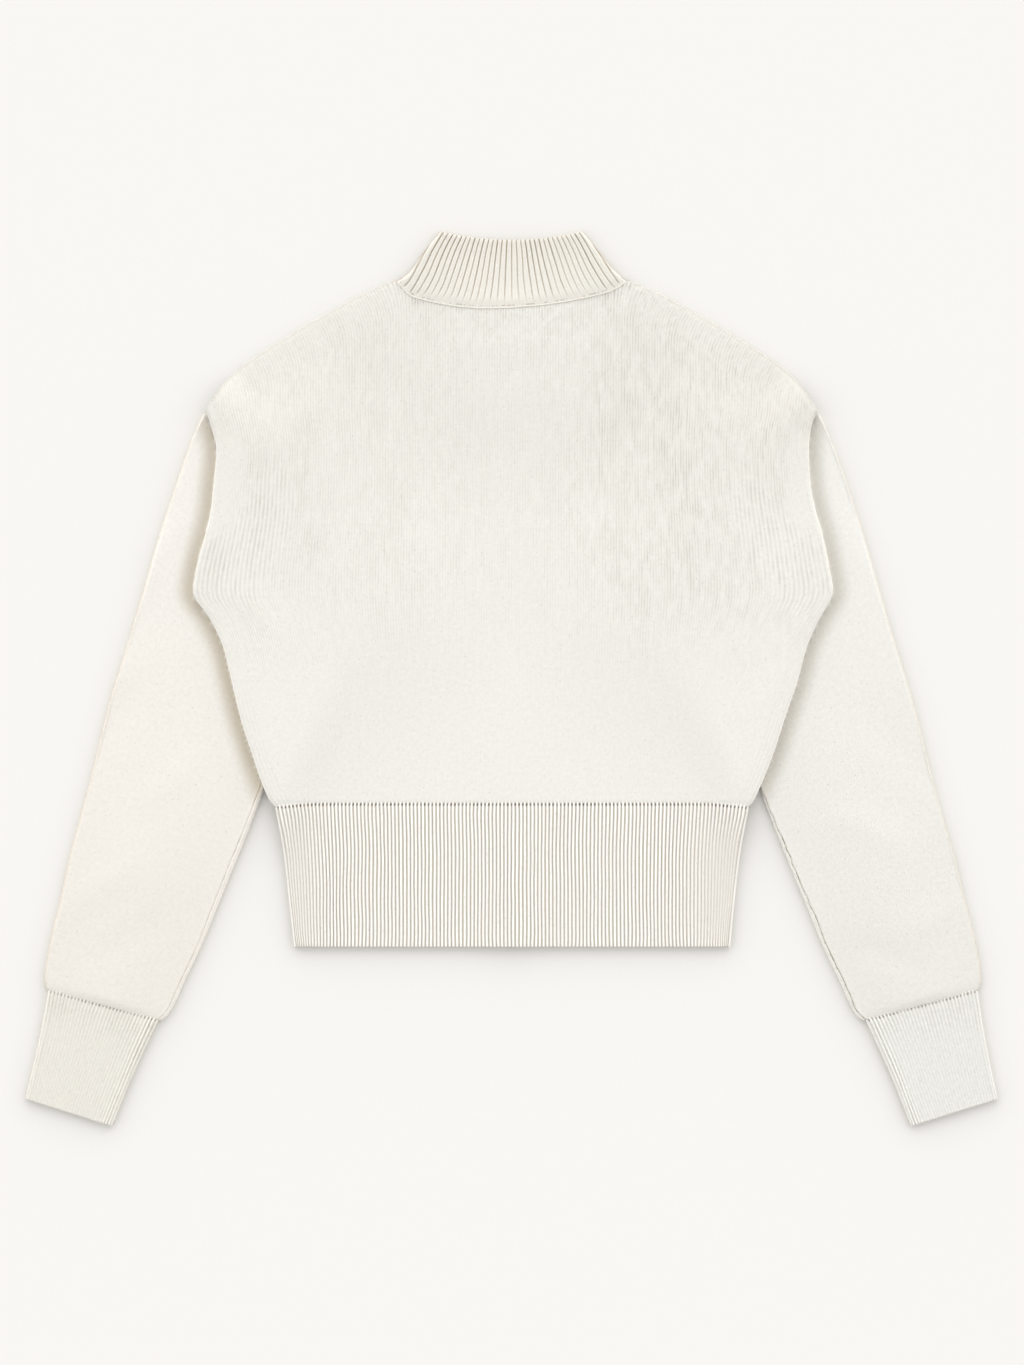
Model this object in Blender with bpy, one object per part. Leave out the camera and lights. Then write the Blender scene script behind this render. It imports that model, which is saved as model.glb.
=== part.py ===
"""Mock-neck zip cardigan in cream rib knit, laid flat on a surface with its back facing up.

Units are metres. X runs across the garment, Y from hem to neck, and Z up from the surface that the
garment lies on. The fronts and the zip are underneath, the sleeves are folded under the body along
a slanting line from the shoulder, and the back lies on top.
"""

import math
from typing import NamedTuple

import bmesh
import bpy
from mathutils import Vector

# Cloth and seams.
WALL = 0.0018  # thickness of the knit
SEAM = 0.0003  # space between two pieces where they are joined
LAYER_GAP = 0.0005  # space between two layers that lie on each other
FOLD_RADIUS = WALL + LAYER_GAP / 2  # outside radius where a wall folds back on itself
EDGE_ROUND = 0.0008  # how much a panel thins at its seamed edges
FOLD_ANGLES = (-60, -20, 20, 60)  # degrees round a fold, from the lower to the upper layer

# Body: back and two fronts.
HEM_SEAM_Y = -0.1004
SHOULDER_TIP_X = 0.2447
BACK_NECK_DROP = 0.00045  # how far the back's neck edge stays below the collar's base
FRONT_EDGE_X = 0.0039  # half the space between the two front edges

# Collar: a band that folds at both sides of the neck.
COLLAR_RIBS = 34
COLLAR_TOP_HALF = 0.0564
COLLAR_TOP_MIDDLE_Y = 0.3520
COLLAR_TOP_TIP_Y = 0.3580
COLLAR_BOW = 0.0033  # how far the band's sides curve in at half its height
FRONT_NECK_Y = 0.2390
FRONT_COLLAR_TOP_Y = 0.2910
NECK_CURVE = 2.2  # power of the front neckline's curve
NECK_HALF = 0.0910

# Ribs.
RIB_RISE = 0.0009
RIB_CREST = (0.28, 0.72)  # where a rib's crest starts and ends, in shares of its width
WAISTBAND_RIBS = 124
WAISTBAND_BOTTOM_Y = -0.2130
CUFF_RIBS = 32
CUFF_INSET = 0.0012  # how much narrower a cuff is than the sleeve's end, on each side

# Where the body drapes over the sleeves and over the zip.
SLEEVE_LIFT = 0.0051
SLEEVE_MARGIN = 0.012
SLEEVE_FALL = 0.034
ZIP_ROOM = 0.0014
ZIP_ROOM_WIDTH = 0.026
SLIDER_LIFT = 0.0018
SLIDER_LIFT_SIDE = (0.016, 0.080)  # the lift ends between these distances from the middle
SLIDER_LIFT_RISE = (0.165, 0.245)  # it grows between these places in Y
SLIDER_LIFT_DROP = (0.292, 0.350)  # and ends between these
SLIDER_ROOM = 0.0010
SLIDER_ROOM_RISE = (0.245, 0.272)
SLIDER_ROOM_DROP = (0.292, 0.320)

# Zip.
TAPE_THICK = 0.0005
TAPE_LOW = WALL + SEAM
TAPE_OUTER_X = 0.0145
CHAIN_HALF = 0.0022
CHAIN_THICK = 0.0014
ZIP_MIDDLE = TAPE_LOW + TAPE_THICK / 2  # height of the zip's middle plane over the floor
ZIP_BOTTOM_Y = -0.2120
ZIP_TOP_Y = 0.2890
ZIP_BOX_LENGTH = 0.0080
ZIP_BOX_THICK = 0.0018
ZIP_STEPS = 26
SLIDER_Y = 0.2820
SLIDER_HALF_LENGTH = 0.0046
SLIDER_HALF_WIDTH = 0.0035
SLIDER_PLATE = 0.0006
POST_HALF_WIDTH = 0.0009
POST_SPAN = (0.0008, 0.0030)  # along the zip, from the slider's middle
ARCH_HALF_LENGTH = 0.0030
ARCH_HALF_WIDTH = 0.0007
ARCH_LEG = 0.0012
ARCH_HEIGHT = 0.0016  # free height under the slider's bridge
ARCH_BAR = 0.0008
TAB_LENGTH = 0.0220
TAB_HALF_WIDTH = 0.0028
TAB_THICK = 0.0008
TAB_SLOT_HALF_WIDTH = 0.0013
TAB_SLOT_LENGTH = 0.0038


class Finish(NamedTuple):
    """The look of a piece's surface."""

    colour: tuple
    metallic: float
    roughness: float


class EdgeRow(NamedTuple):
    """Where the two side edges lie at one height."""

    y: float
    left: float
    right: float


class ShoulderPoint(NamedTuple):
    """A point on the shoulder line, the same on both sides."""

    x: float
    y: float


class Section(NamedTuple):
    """A line across a sleeve or cuff, from its outer edge to its inner edge, and the rise between."""

    outer_x: float
    outer_y: float
    inner_x: float
    inner_y: float
    crown: float


BODY_EDGE = (
    EdgeRow(-0.1004, -0.1916, 0.1922),
    EdgeRow(-0.0880, -0.1976, 0.1980),
    EdgeRow(-0.0570, -0.2084, 0.2103),
    EdgeRow(-0.0300, -0.2170, 0.2190),
    EdgeRow(-0.0035, -0.2234, 0.2282),
    EdgeRow(0.0270, -0.2306, 0.2374),
    EdgeRow(0.0500, -0.2418, 0.2480),
    EdgeRow(0.0700, -0.2549, 0.2576),
    EdgeRow(0.0900, -0.2523, 0.2548),
    EdgeRow(0.1150, -0.2460, 0.2501),
    EdgeRow(0.1330, -0.2412, 0.2447),
    EdgeRow(0.1540, -0.2386, 0.2404),
    EdgeRow(0.1840, -0.2360, 0.2386),
    EdgeRow(0.2000, -0.2395, 0.2394),
    EdgeRow(0.2155, -0.2447, 0.2447),
)
SHOULDER = (
    ShoulderPoint(0.0930, 0.3186),
    ShoulderPoint(0.1040, 0.3155),
    ShoulderPoint(0.1200, 0.3084),
    ShoulderPoint(0.1360, 0.2996),
    ShoulderPoint(0.1520, 0.2906),
    ShoulderPoint(0.1680, 0.2816),
    ShoulderPoint(0.1840, 0.2718),
    ShoulderPoint(0.2000, 0.2616),
    ShoulderPoint(0.2160, 0.2504),
    ShoulderPoint(0.2310, 0.2360),
    ShoulderPoint(0.2447, 0.2155),
)
BACK_NECKLINE = (
    ShoulderPoint(0.0000, 0.2990),
    ShoulderPoint(0.0200, 0.2999),
    ShoulderPoint(0.0380, 0.3024),
    ShoulderPoint(0.0570, 0.3066),
    ShoulderPoint(0.0780, 0.3122),
    ShoulderPoint(0.0910, 0.3184),
)
WAISTBAND_EDGE = (
    EdgeRow(-0.2130, -0.1732, 0.1744),
    EdgeRow(-0.1732, -0.1772, 0.1780),
    EdgeRow(-0.1388, -0.1806, 0.1820),
    EdgeRow(-0.1007, -0.1878, 0.1892),
)
SLEEVE_SECTIONS = (
    Section(0.3724, -0.2482, 0.2819, -0.2732, 0.0010),
    Section(0.3740, -0.2410, 0.2772, -0.2686, 0.0018),
    Section(0.3694, -0.2100, 0.2640, -0.2405, 0.0016),
    Section(0.3614, -0.1770, 0.2502, -0.2140, 0.0016),
    Section(0.3544, -0.1444, 0.2378, -0.1810, 0.0016),
    Section(0.3372, -0.0804, 0.2140, -0.1220, 0.0014),
    Section(0.3212, -0.0164, 0.1927, -0.0700, 0.0010),
    Section(0.3016, 0.0476, 0.1771, -0.0330, 0.0006),
    Section(0.2832, 0.1116, 0.1600, 0.0080, 0.0005),
    Section(0.2675, 0.1596, 0.1474, 0.0380, 0.0005),
    Section(0.2525, 0.2000, 0.1405, 0.0545, 0.0005),
    Section(0.2460, 0.2130, 0.1380, 0.0604, 0.0005),
)
CUFF_END = Section(0.3894, -0.3343, 0.3185, -0.3569, 0.0003)

# Columns across the body, from the centre to the side, as places along its top edge. Those at the
# neck lie on the collar's own columns, so that the two edges run side by side.
NECK_STATIONS = (0, 3, 6, 9, 12, 15, 17)  # ribs of the collar, counted from the centre back
NECK_FOLD_X = NECK_HALF - FOLD_RADIUS
BODY_COLUMNS = tuple(NECK_FOLD_X * n / NECK_STATIONS[-1] for n in NECK_STATIONS) + (
    0.0930, 0.1080, 0.1250, 0.1430, 0.1610, 0.1780, 0.1940, 0.2080, 0.2200, 0.2310, 0.2410, 0.2447,
)  # fmt: skip
BODY_ROWS = (
    0, 0.039, 0.137, 0.223, 0.307, 0.403, 0.476, 0.539, 0.603, 0.682, 0.739, 0.805, 0.850, 0.900,
    0.951, 0.989, 1,
)  # fmt: skip
WAISTBAND_STATIONS = tuple(range(0, WAISTBAND_RIBS // 2, 4)) + (WAISTBAND_RIBS // 2,)
WAISTBAND_ROWS = (0, 0.35, 0.7, 1)
COLLAR_ROWS = (0, 0.12, 0.3, 0.65, 1)
COLLAR_RIB_GROWTH = (0.15, 0.55, 0.9, 1, 1)  # rib height at each of those rows, as a share
CUFF_ROWS = (0, 0.5, 1)
SLEEVE_TOP_COLUMNS = (-1, -0.72, -0.4, 0, 0.4, 0.72, 1)
SLEEVE_END_WALL = 0.004  # how much cloth closes the tucked end of a sleeve

KNIT = Finish((0.880, 0.855, 0.790, 1), 0.0, 0.90)
RIB_KNIT = Finish((0.840, 0.805, 0.725, 1), 0.0, 0.90)
TAPE = Finish((0.800, 0.760, 0.670, 1), 0.0, 0.80)
NICKEL = Finish((0.720, 0.710, 0.690, 1), 1.0, 0.30)


def lerp(a, b, share):
    """The value at a share of the way from a to b."""
    return a + (b - a) * share


def ease(low, high, value):
    """0 below low, 1 above high, and a smooth rise between."""
    share = min(max((value - low) / (high - low), 0.0), 1.0)
    return share * share * (3 - 2 * share)


def read(table, at):
    """The row of a table at one place in its first column, between its rows in a straight line."""
    at = min(max(at, table[0][0]), table[-1][0])
    for low, high in zip(table, table[1:]):
        if at <= high[0]:
            share = (at - low[0]) / (high[0] - low[0])
            return type(low)(*(lerp(a, b, share) for a, b in zip(low, high)))
    return table[-1]


def distance_outside(x, y, outline):
    """How far a point lies outside a closed outline, and 0 inside it."""
    inside = False
    nearest = math.inf
    for (ax, ay), (bx, by) in zip(outline, outline[1:] + outline[:1]):
        dx, dy = bx - ax, by - ay
        along = ((x - ax) * dx + (y - ay) * dy) / (dx * dx + dy * dy)
        along = min(max(along, 0.0), 1.0)
        nearest = min(nearest, math.hypot(x - ax - along * dx, y - ay - along * dy))
        if (ay > y) != (by > y) and x < ax + (y - ay) * dx / dy:
            inside = not inside
    return 0.0 if inside else nearest


SLEEVE_OUTLINE = [(s.outer_x, s.outer_y) for s in SLEEVE_SECTIONS] + [
    (s.inner_x, s.inner_y) for s in reversed(SLEEVE_SECTIONS)
]


def floor_height(x, y):
    """The underside of the fronts: flat on the surface, and raised over the sleeves and the slider."""
    beside_sleeve = distance_outside(abs(x), y, SLEEVE_OUTLINE)
    over_sleeve = 1 - ease(SLEEVE_MARGIN, SLEEVE_MARGIN + SLEEVE_FALL, beside_sleeve)
    along_zip = ease(*SLIDER_LIFT_RISE, y) * (1 - ease(*SLIDER_LIFT_DROP, y))
    over_slider = (1 - ease(*SLIDER_LIFT_SIDE, abs(x))) * along_zip
    return SLEEVE_LIFT * over_sleeve + SLIDER_LIFT * over_slider


def layer_space(x, y):
    """The space between the front layer and the back layer: small, and wider over the zip."""
    near_middle = math.exp(-((x / ZIP_ROOM_WIDTH) ** 2))
    over_slider = ease(*SLIDER_ROOM_RISE, y) * (1 - ease(*SLIDER_ROOM_DROP, y))
    return LAYER_GAP + near_middle * (ZIP_ROOM + SLIDER_ROOM * over_slider)


def back_floor(x, y):
    """The underside of the back layer."""
    return floor_height(x, y) + WALL + layer_space(x, y)


class Column(NamedTuple):
    """A place across a ribbed or plain face, its rise, and whether the inner face has a point there."""

    at: float
    rise: float
    key: bool


def plain_columns(places):
    """Columns of a face without ribs."""
    return [Column(place, 0.0, True) for place in places]


def rib_columns(ribs, keys):
    """Columns of a face with that many ribs between -1 and 1, each with a flat crest.

    keys holds the numbers of the rib edges that the inner face follows.
    """
    columns = []
    for rib in range(ribs):
        columns.append(Column(2 * rib / ribs - 1, 0.0, rib in keys))
        columns.extend(Column(2 * (rib + share) / ribs - 1, RIB_RISE, False) for share in RIB_CREST)
    columns.append(Column(1.0, 0.0, True))
    return columns


def show(name, form, finish):
    """Adds a mesh or curve to the garment as a named object with a material of its own."""
    material = bpy.data.materials.new(name)
    material.use_nodes = True
    material.diffuse_color = finish.colour
    surface = material.node_tree.nodes["Principled BSDF"]
    surface.inputs["Base Color"].default_value = finish.colour
    surface.inputs["Metallic"].default_value = finish.metallic
    surface.inputs["Roughness"].default_value = finish.roughness
    form.materials.append(material)
    piece = bpy.data.objects.new(name, form)
    garment.objects.link(piece)
    return piece


def cloth_wall(name, outer, inner, keys, finish, ring=False, capped=False):
    """One closed wall of cloth between an outer and an inner face.

    outer and inner hold rows of points. keys gives, for each inner column, the outer column that it
    lies under, so an inner face may be coarser than a ribbed outer one. In a ring the columns run
    round a tube, and a capped ring is closed at its last row.
    """
    mesh = bpy.data.meshes.new(name)
    form = bmesh.new()
    out = [[form.verts.new(point) for point in row] for row in outer]
    ins = [[form.verts.new(point) for point in row] for row in inner]
    columns = len(out[0])
    spans = list(zip(keys, keys[1:]))
    if ring:
        spans.append((keys[-1], keys[0] + columns))

    for low, high in zip(out, out[1:]):
        for i in range(columns if ring else columns - 1):
            after = (i + 1) % columns
            form.faces.new((low[i], low[after], high[after], high[i]))
    for low, high in zip(ins, ins[1:]):
        for k in range(len(spans)):
            after = (k + 1) % len(keys)
            form.faces.new((low[k], high[k], high[after], low[after]))
    for row in (0,) if capped else (0, -1):
        for k, (start, end) in enumerate(spans):
            rim = [out[row][i % columns] for i in range(start, end + 1)]
            form.faces.new(rim + [ins[row][(k + 1) % len(keys)], ins[row][k]])
    if capped:
        form.faces.new(out[-1])
        form.faces.new(ins[-1])
    if not ring:
        for side in (0, -1):
            for j in range(len(out) - 1):
                form.faces.new((out[j][side], out[j + 1][side], ins[j + 1][side], ins[j][side]))

    bmesh.ops.triangulate(form, faces=form.faces[:], quad_method="FIXED", ngon_method="EAR_CLIP")
    bmesh.ops.recalc_face_normals(form, faces=form.faces[:])
    form.to_mesh(mesh)
    form.free()
    show(name, mesh, finish)


def back_neckline(x):
    """The collar's base at the back."""
    return read(BACK_NECKLINE, x).y


NECK_FOLD_Y = back_neckline(NECK_FOLD_X)


def front_neckline(x):
    """The collar's base at the front."""
    return lerp(FRONT_NECK_Y, NECK_FOLD_Y, (x / NECK_FOLD_X) ** NECK_CURVE)


def back_top(x):
    """The upper edge of the back panel: neck, then shoulder."""
    return back_neckline(x) - BACK_NECK_DROP if x < NECK_HALF else read(SHOULDER, x).y


def front_top(x):
    """The upper edge of a front panel: neck, then shoulder."""
    return front_neckline(x) - SEAM if x < NECK_HALF else read(SHOULDER, x).y


def body_point(side, column, row, top):
    """A point of a body panel. Its columns follow the side edge near it and run straight inside."""
    edge = read(BODY_EDGE, lerp(HEM_SEAM_Y, BODY_EDGE[-1].y, row))
    half = edge.right if side > 0 else -edge.left
    share = column / SHOULDER_TIP_X
    x = column + (half - SHOULDER_TIP_X) * share**3
    return side * x, lerp(HEM_SEAM_Y, top(column), row)


def edge_softness(column, row):
    """1 inside a panel and 0 on its side and shoulder edges."""
    on_shoulder = row == 1 and column > NECK_HALF
    return 0 if column == SHOULDER_TIP_X or on_shoulder else 1


def build_back():
    """The back panel, which lies on the fronts and meets them in the side and shoulder seams."""
    columns = [(-1, x) for x in reversed(BODY_COLUMNS)] + [(1, x) for x in BODY_COLUMNS[1:]]
    outer, inner = [], []
    for row in BODY_ROWS:
        upper, lower = [], []
        for side, column in columns:
            x, y = body_point(side, column, row, back_top)
            inside = edge_softness(column, row)
            low = floor_height(x, y) + WALL + lerp(SEAM, layer_space(x, y), inside)
            lower.append((x, y, low))
            upper.append((x, y, low + WALL - EDGE_ROUND * (1 - inside)))
        outer.append(upper)
        inner.append(lower)
    cloth_wall("back", outer, inner, list(range(len(columns))), KNIT)


def build_front(name, side):
    """A front panel, from the zip to the side seam."""
    columns = [FRONT_EDGE_X, *BODY_COLUMNS[1:]][::side]  # from left to right, as in the back
    outer, inner = [], []
    for row in BODY_ROWS:
        upper, lower = [], []
        for column in columns:
            x, y = body_point(side, column, row, front_top)
            inside = edge_softness(column, row)
            low = floor_height(x, y)
            lower.append((x, y, low + EDGE_ROUND * (1 - inside)))
            upper.append((x, y, low + WALL))
        outer.append(lower)
        inner.append(upper)
    cloth_wall(name, outer, inner, list(range(len(columns))), KNIT)


def outward(point_at, side, row):
    """The direction in which a band's folded side faces, square to its edge."""
    step = 0.02
    x0, y0 = point_at(side, max(row - step, 0))
    x1, y1 = point_at(side, min(row + step, 1))
    along = Vector((x1 - x0, y1 - y0, 0)).normalized()
    return Vector((side * along.y, -side * along.x, 0))


def band(name, back_point, front_point, ribs, stations, rows, growth):
    """A ribbed band that is open at the centre front and folds at both sides.

    Its outer face goes from one front edge, along the underside, round the fold, across the back
    with its ribs, round the other fold and to the other front edge.

    back_point(place, row) gives x and y across the back, for a place from -1 to 1, and
    front_point(side, share, row) those of a front half, from the front edge at 0 to the fold at 1.
    stations holds the rib edges, from the centre, that the front and the inner face follow. growth
    is the rib height at each row, as a share.
    """
    half = ribs // 2
    back = rib_columns(ribs, {half + n * side for n in stations for side in (-1, 1)})
    outer, inner, keys = [], [], []
    for row, height in zip(rows, growth):
        out, ins, keys = [], [], []

        def add(outside, inside):
            """A column of the band, with a point on the inner face unless it is None."""
            if inside is not None:
                keys.append(len(out))
                ins.append(inside)
            out.append(outside)

        def add_front(side, stops):
            """The columns of one front half."""
            for stop in stops:
                x, y = front_point(side, stop / half, row)
                low = floor_height(x, y)
                add((x, y, low), (x, y, low + WALL))

        def add_fold(side, angles):
            """The columns round one fold."""
            facing = outward(back_point, side, row)
            centre = Vector((*back_point(side, row), 0))
            centre.z = floor_height(centre.x, centre.y) + FOLD_RADIUS
            for angle in angles:
                turn = facing * math.cos(math.radians(angle))
                turn.z = math.sin(math.radians(angle))
                add(centre + turn * FOLD_RADIUS, centre + turn * (FOLD_RADIUS - WALL))

        add_front(-1, stations)
        add_fold(-1, FOLD_ANGLES)
        for column in back:
            x, y = back_point(column.at, row)
            low = back_floor(x, y)
            top = (x, y, low + WALL + column.rise * height)
            add(top, (x, y, low) if column.key else None)
        add_fold(1, reversed(FOLD_ANGLES))
        add_front(1, reversed(stations))
        outer.append(out)
        inner.append(ins)
    cloth_wall(name, outer, inner, keys, RIB_KNIT)


def build_waistband():
    """The deep ribbed waistband."""

    def edge_at(row):
        """The band's two side edges and its height at one row."""
        return read(WAISTBAND_EDGE, lerp(WAISTBAND_BOTTOM_Y, WAISTBAND_EDGE[-1].y, row))

    def back_point(place, row):
        """A point across the back."""
        edge = edge_at(row)
        half = (edge.right if place > 0 else -edge.left) - FOLD_RADIUS
        return place * half, edge.y

    def front_point(side, share, row):
        """A point across a front half."""
        x, y = back_point(side * share, row)
        return side * max(abs(x), FRONT_EDGE_X), y

    growth = [1] * len(WAISTBAND_ROWS)
    band("waistband", back_point, front_point, WAISTBAND_RIBS, WAISTBAND_STATIONS, WAISTBAND_ROWS, growth)


def build_collar():
    """The mock neck, whose front half dips below its back half."""
    top_half = COLLAR_TOP_HALF - FOLD_RADIUS

    def between(base, top, side_share, row):
        """A point between the band's base and its top edge, with the sides curved in."""
        bow = COLLAR_BOW * 4 * row * (1 - row) * side_share
        return lerp(base[0], top[0], row) - bow, lerp(base[1], top[1], row)

    def back_point(place, row):
        """A point across the back."""
        base_x, top_x = abs(place) * NECK_FOLD_X, abs(place) * top_half
        base = (base_x, back_neckline(base_x))
        top = (top_x, lerp(COLLAR_TOP_MIDDLE_Y, COLLAR_TOP_TIP_Y, place**2))
        x, y = between(base, top, abs(place), row)
        return math.copysign(x, place), y

    def front_point(side, share, row):
        """A point across a front half."""
        base_x = max(share * NECK_FOLD_X, FRONT_EDGE_X)
        base = (base_x, front_neckline(base_x))
        top_x = max(share * top_half, FRONT_EDGE_X)
        top = (top_x, lerp(FRONT_COLLAR_TOP_Y, COLLAR_TOP_TIP_Y, share**NECK_CURVE))
        x, y = between(base, top, share, row)
        return side * x, y

    band("collar", back_point, front_point, COLLAR_RIBS, NECK_STATIONS, COLLAR_ROWS, COLLAR_RIB_GROWTH)


def tube(name, side, sections, top_columns, finish, capped=False):
    """A flattened tube through sections that run from its outer to its inner edge.

    It rests flat on the surface. Its upper face has the given columns and rises by each section's
    crown, and both its edges are round folds. A capped tube is closed at its last section.
    """
    outer, inner, keys = [], [], []
    last = len(sections) - 1
    for number, section in enumerate(sections):
        start = Vector((side * section.outer_x, section.outer_y, 0))
        across = Vector((side * section.inner_x, section.inner_y, 0)) - start
        middle = start + across / 2
        flat = across.length / 2 - FOLD_RADIUS
        across.normalize()
        back_off = Vector((0, 0, 0))
        if capped and number == last:
            back_off = across.cross(Vector((0, 0, side))).normalized() * SLEEVE_END_WALL
        out, ins, keys = [], [], []

        def add(along, height, in_along, in_height, key=True):
            """A column of the ring, with a point on the inner face if it is a key."""
            if key:
                keys.append(len(out))
                ins.append(middle + across * in_along + Vector((0, 0, in_height)) + back_off)
            out.append(middle + across * along + Vector((0, 0, height)))

        for column in top_columns:
            rise = section.crown * (1 - column.at**2) ** 2
            top = 2 * FOLD_RADIUS + rise
            place = column.at * flat
            add(place, top + column.rise, place, top - WALL, column.key)
        for end, angles in ((1, reversed(FOLD_ANGLES)), (-1, FOLD_ANGLES)):
            for angle in angles:
                along = end * math.cos(math.radians(angle))
                up = math.sin(math.radians(angle))
                hollow = FOLD_RADIUS - WALL
                add(
                    end * flat + along * FOLD_RADIUS,
                    FOLD_RADIUS * (1 + up),
                    end * flat + along * hollow,
                    FOLD_RADIUS + up * hollow,
                )
            if end > 0:
                for place in (flat, 0, -flat):
                    add(place, 0, place, WALL)
        outer.append(out)
        inner.append(ins)
    cloth_wall(name, outer, inner, keys, finish, ring=True, capped=capped)


def cuff_sections():
    """Sections of a cuff, from just beside the sleeve's end to the cuff's own end."""
    end = SLEEVE_SECTIONS[0]
    start = Vector((end.outer_x, end.outer_y))
    across = (Vector((end.inner_x, end.inner_y)) - start).normalized()
    down = Vector((-across.y, across.x)) * SEAM
    top_outer = start + across * CUFF_INSET + down
    top_inner = Vector((end.inner_x, end.inner_y)) - across * CUFF_INSET + down
    first = Section(*top_outer, *top_inner, CUFF_END.crown)
    return [Section(*(lerp(a, b, row) for a, b in zip(first, CUFF_END))) for row in CUFF_ROWS]


def strip(name, across, ends, thickness, finish):
    """A thin strip along the zip's middle plane, between two places across and two along the zip."""
    outer, inner = [], []
    for step in range(ZIP_STEPS + 1):
        y = lerp(*ends, step / ZIP_STEPS)
        middle = floor_height(0, y) + ZIP_MIDDLE
        outer.append([(x, y, middle + thickness / 2) for x in sorted(across)])
        inner.append([(x, y, middle - thickness / 2) for x in sorted(across)])
    cloth_wall(name, outer, inner, [0, 1], finish)


def block_mesh(name, low, high):
    """A box between two corners."""
    mesh = bpy.data.meshes.new(name)
    form = bmesh.new()
    bmesh.ops.create_cube(form, size=1)
    for vert in form.verts:
        vert.co = Vector(lerp(a, b, c + 0.5) for a, b, c in zip(low, high, vert.co))
    form.to_mesh(mesh)
    form.free()
    return mesh


def fuse(piece, low, high):
    """Joins a box to a piece."""
    name = f"{piece.name}_add_{len(piece.modifiers)}"
    helper = bpy.data.objects.new(name, block_mesh(name, low, high))
    helper.hide_render = True
    helper.display_type = "WIRE"
    cutters.objects.link(helper)
    union = piece.modifiers.new(name, "BOOLEAN")
    union.operation = "UNION"
    union.object = helper


def build_slider():
    """The slider: two plates round the chain, joined by a post, with side walls and a bridge.

    Returns the height of the bridge's middle, where the pull tab turns.
    """
    middle = floor_height(0, SLIDER_Y) + ZIP_MIDDLE
    room = CHAIN_THICK / 2 + SEAM  # from the middle plane to a plate
    tape_room = TAPE_THICK / 2 + SEAM
    near, far = SLIDER_Y - SLIDER_HALF_LENGTH, SLIDER_Y + SLIDER_HALF_LENGTH
    overlap = SLIDER_PLATE / 3
    lowest, highest = middle - room - SLIDER_PLATE, middle + room + SLIDER_PLATE

    lower_plate = block_mesh(
        "zip_slider",
        (-SLIDER_HALF_WIDTH, near, lowest),
        (SLIDER_HALF_WIDTH, far, lowest + SLIDER_PLATE),
    )
    slider = show("zip_slider", lower_plate, NICKEL)
    fuse(
        slider,
        (-SLIDER_HALF_WIDTH, near, highest - SLIDER_PLATE),
        (SLIDER_HALF_WIDTH, far, highest),
    )
    fuse(
        slider,
        (-POST_HALF_WIDTH, SLIDER_Y + POST_SPAN[0], lowest + overlap),
        (POST_HALF_WIDTH, SLIDER_Y + POST_SPAN[1], highest - overlap),
    )
    for side in (-1, 1):
        wall = sorted((side * (CHAIN_HALF + SEAM), side * (SLIDER_HALF_WIDTH - overlap)))
        for low, high in ((lowest + overlap, middle - tape_room), (middle + tape_room, highest - overlap)):
            fuse(slider, (wall[0], near + overlap, low), (wall[1], far - overlap, high))
    bar_top = lowest - ARCH_HEIGHT
    for end in (-1, 1):
        leg = sorted((end * ARCH_HALF_LENGTH, end * (ARCH_HALF_LENGTH - ARCH_LEG)))
        fuse(
            slider,
            (-ARCH_HALF_WIDTH, SLIDER_Y + leg[0], bar_top - ARCH_BAR / 2),
            (ARCH_HALF_WIDTH, SLIDER_Y + leg[1], lowest + overlap),
        )
    bar_half_width, bar_half_length = ARCH_HALF_WIDTH + overlap / 2, ARCH_HALF_LENGTH + overlap / 2
    fuse(
        slider,
        (-bar_half_width, SLIDER_Y - bar_half_length, bar_top - ARCH_BAR),
        (bar_half_width, SLIDER_Y + bar_half_length, bar_top),
    )
    return lowest - ARCH_HEIGHT / 2


def add_outline(curve, points):
    """Adds a closed straight-sided outline to a flat curve."""
    spline = curve.splines.new("POLY")
    spline.points.add(len(points) - 1)
    for point, (x, y) in zip(spline.points, points):
        point.co = (x, y, 0, 1)
    spline.use_cyclic_u = True


def build_pull_tab(hinge_height):
    """The pull tab: a flat plate with a rounded end, hung by a slot on the slider's bridge."""
    bar = TAB_THICK / 2
    tip_centre = TAB_HALF_WIDTH - TAB_LENGTH
    arc = [math.radians(angle) for angle in range(0, -181, -20)]
    outline = [(-TAB_HALF_WIDTH, bar), (TAB_HALF_WIDTH, bar)]
    outline += [(TAB_HALF_WIDTH * math.cos(a), tip_centre + TAB_HALF_WIDTH * math.sin(a)) for a in arc]
    slot_end = -bar - TAB_SLOT_LENGTH
    slot = [
        (-TAB_SLOT_HALF_WIDTH, -bar),
        (-TAB_SLOT_HALF_WIDTH, slot_end),
        (TAB_SLOT_HALF_WIDTH, slot_end),
        (TAB_SLOT_HALF_WIDTH, -bar),
    ]
    curve = bpy.data.curves.new("zip_pull_tab", "CURVE")
    curve.dimensions = "2D"
    curve.fill_mode = "BOTH"
    curve.extrude = TAB_THICK / 2
    add_outline(curve, outline)
    add_outline(curve, slot)
    tab = show("zip_pull_tab", curve, NICKEL)
    tab.location = (0, SLIDER_Y, hinge_height)


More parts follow.
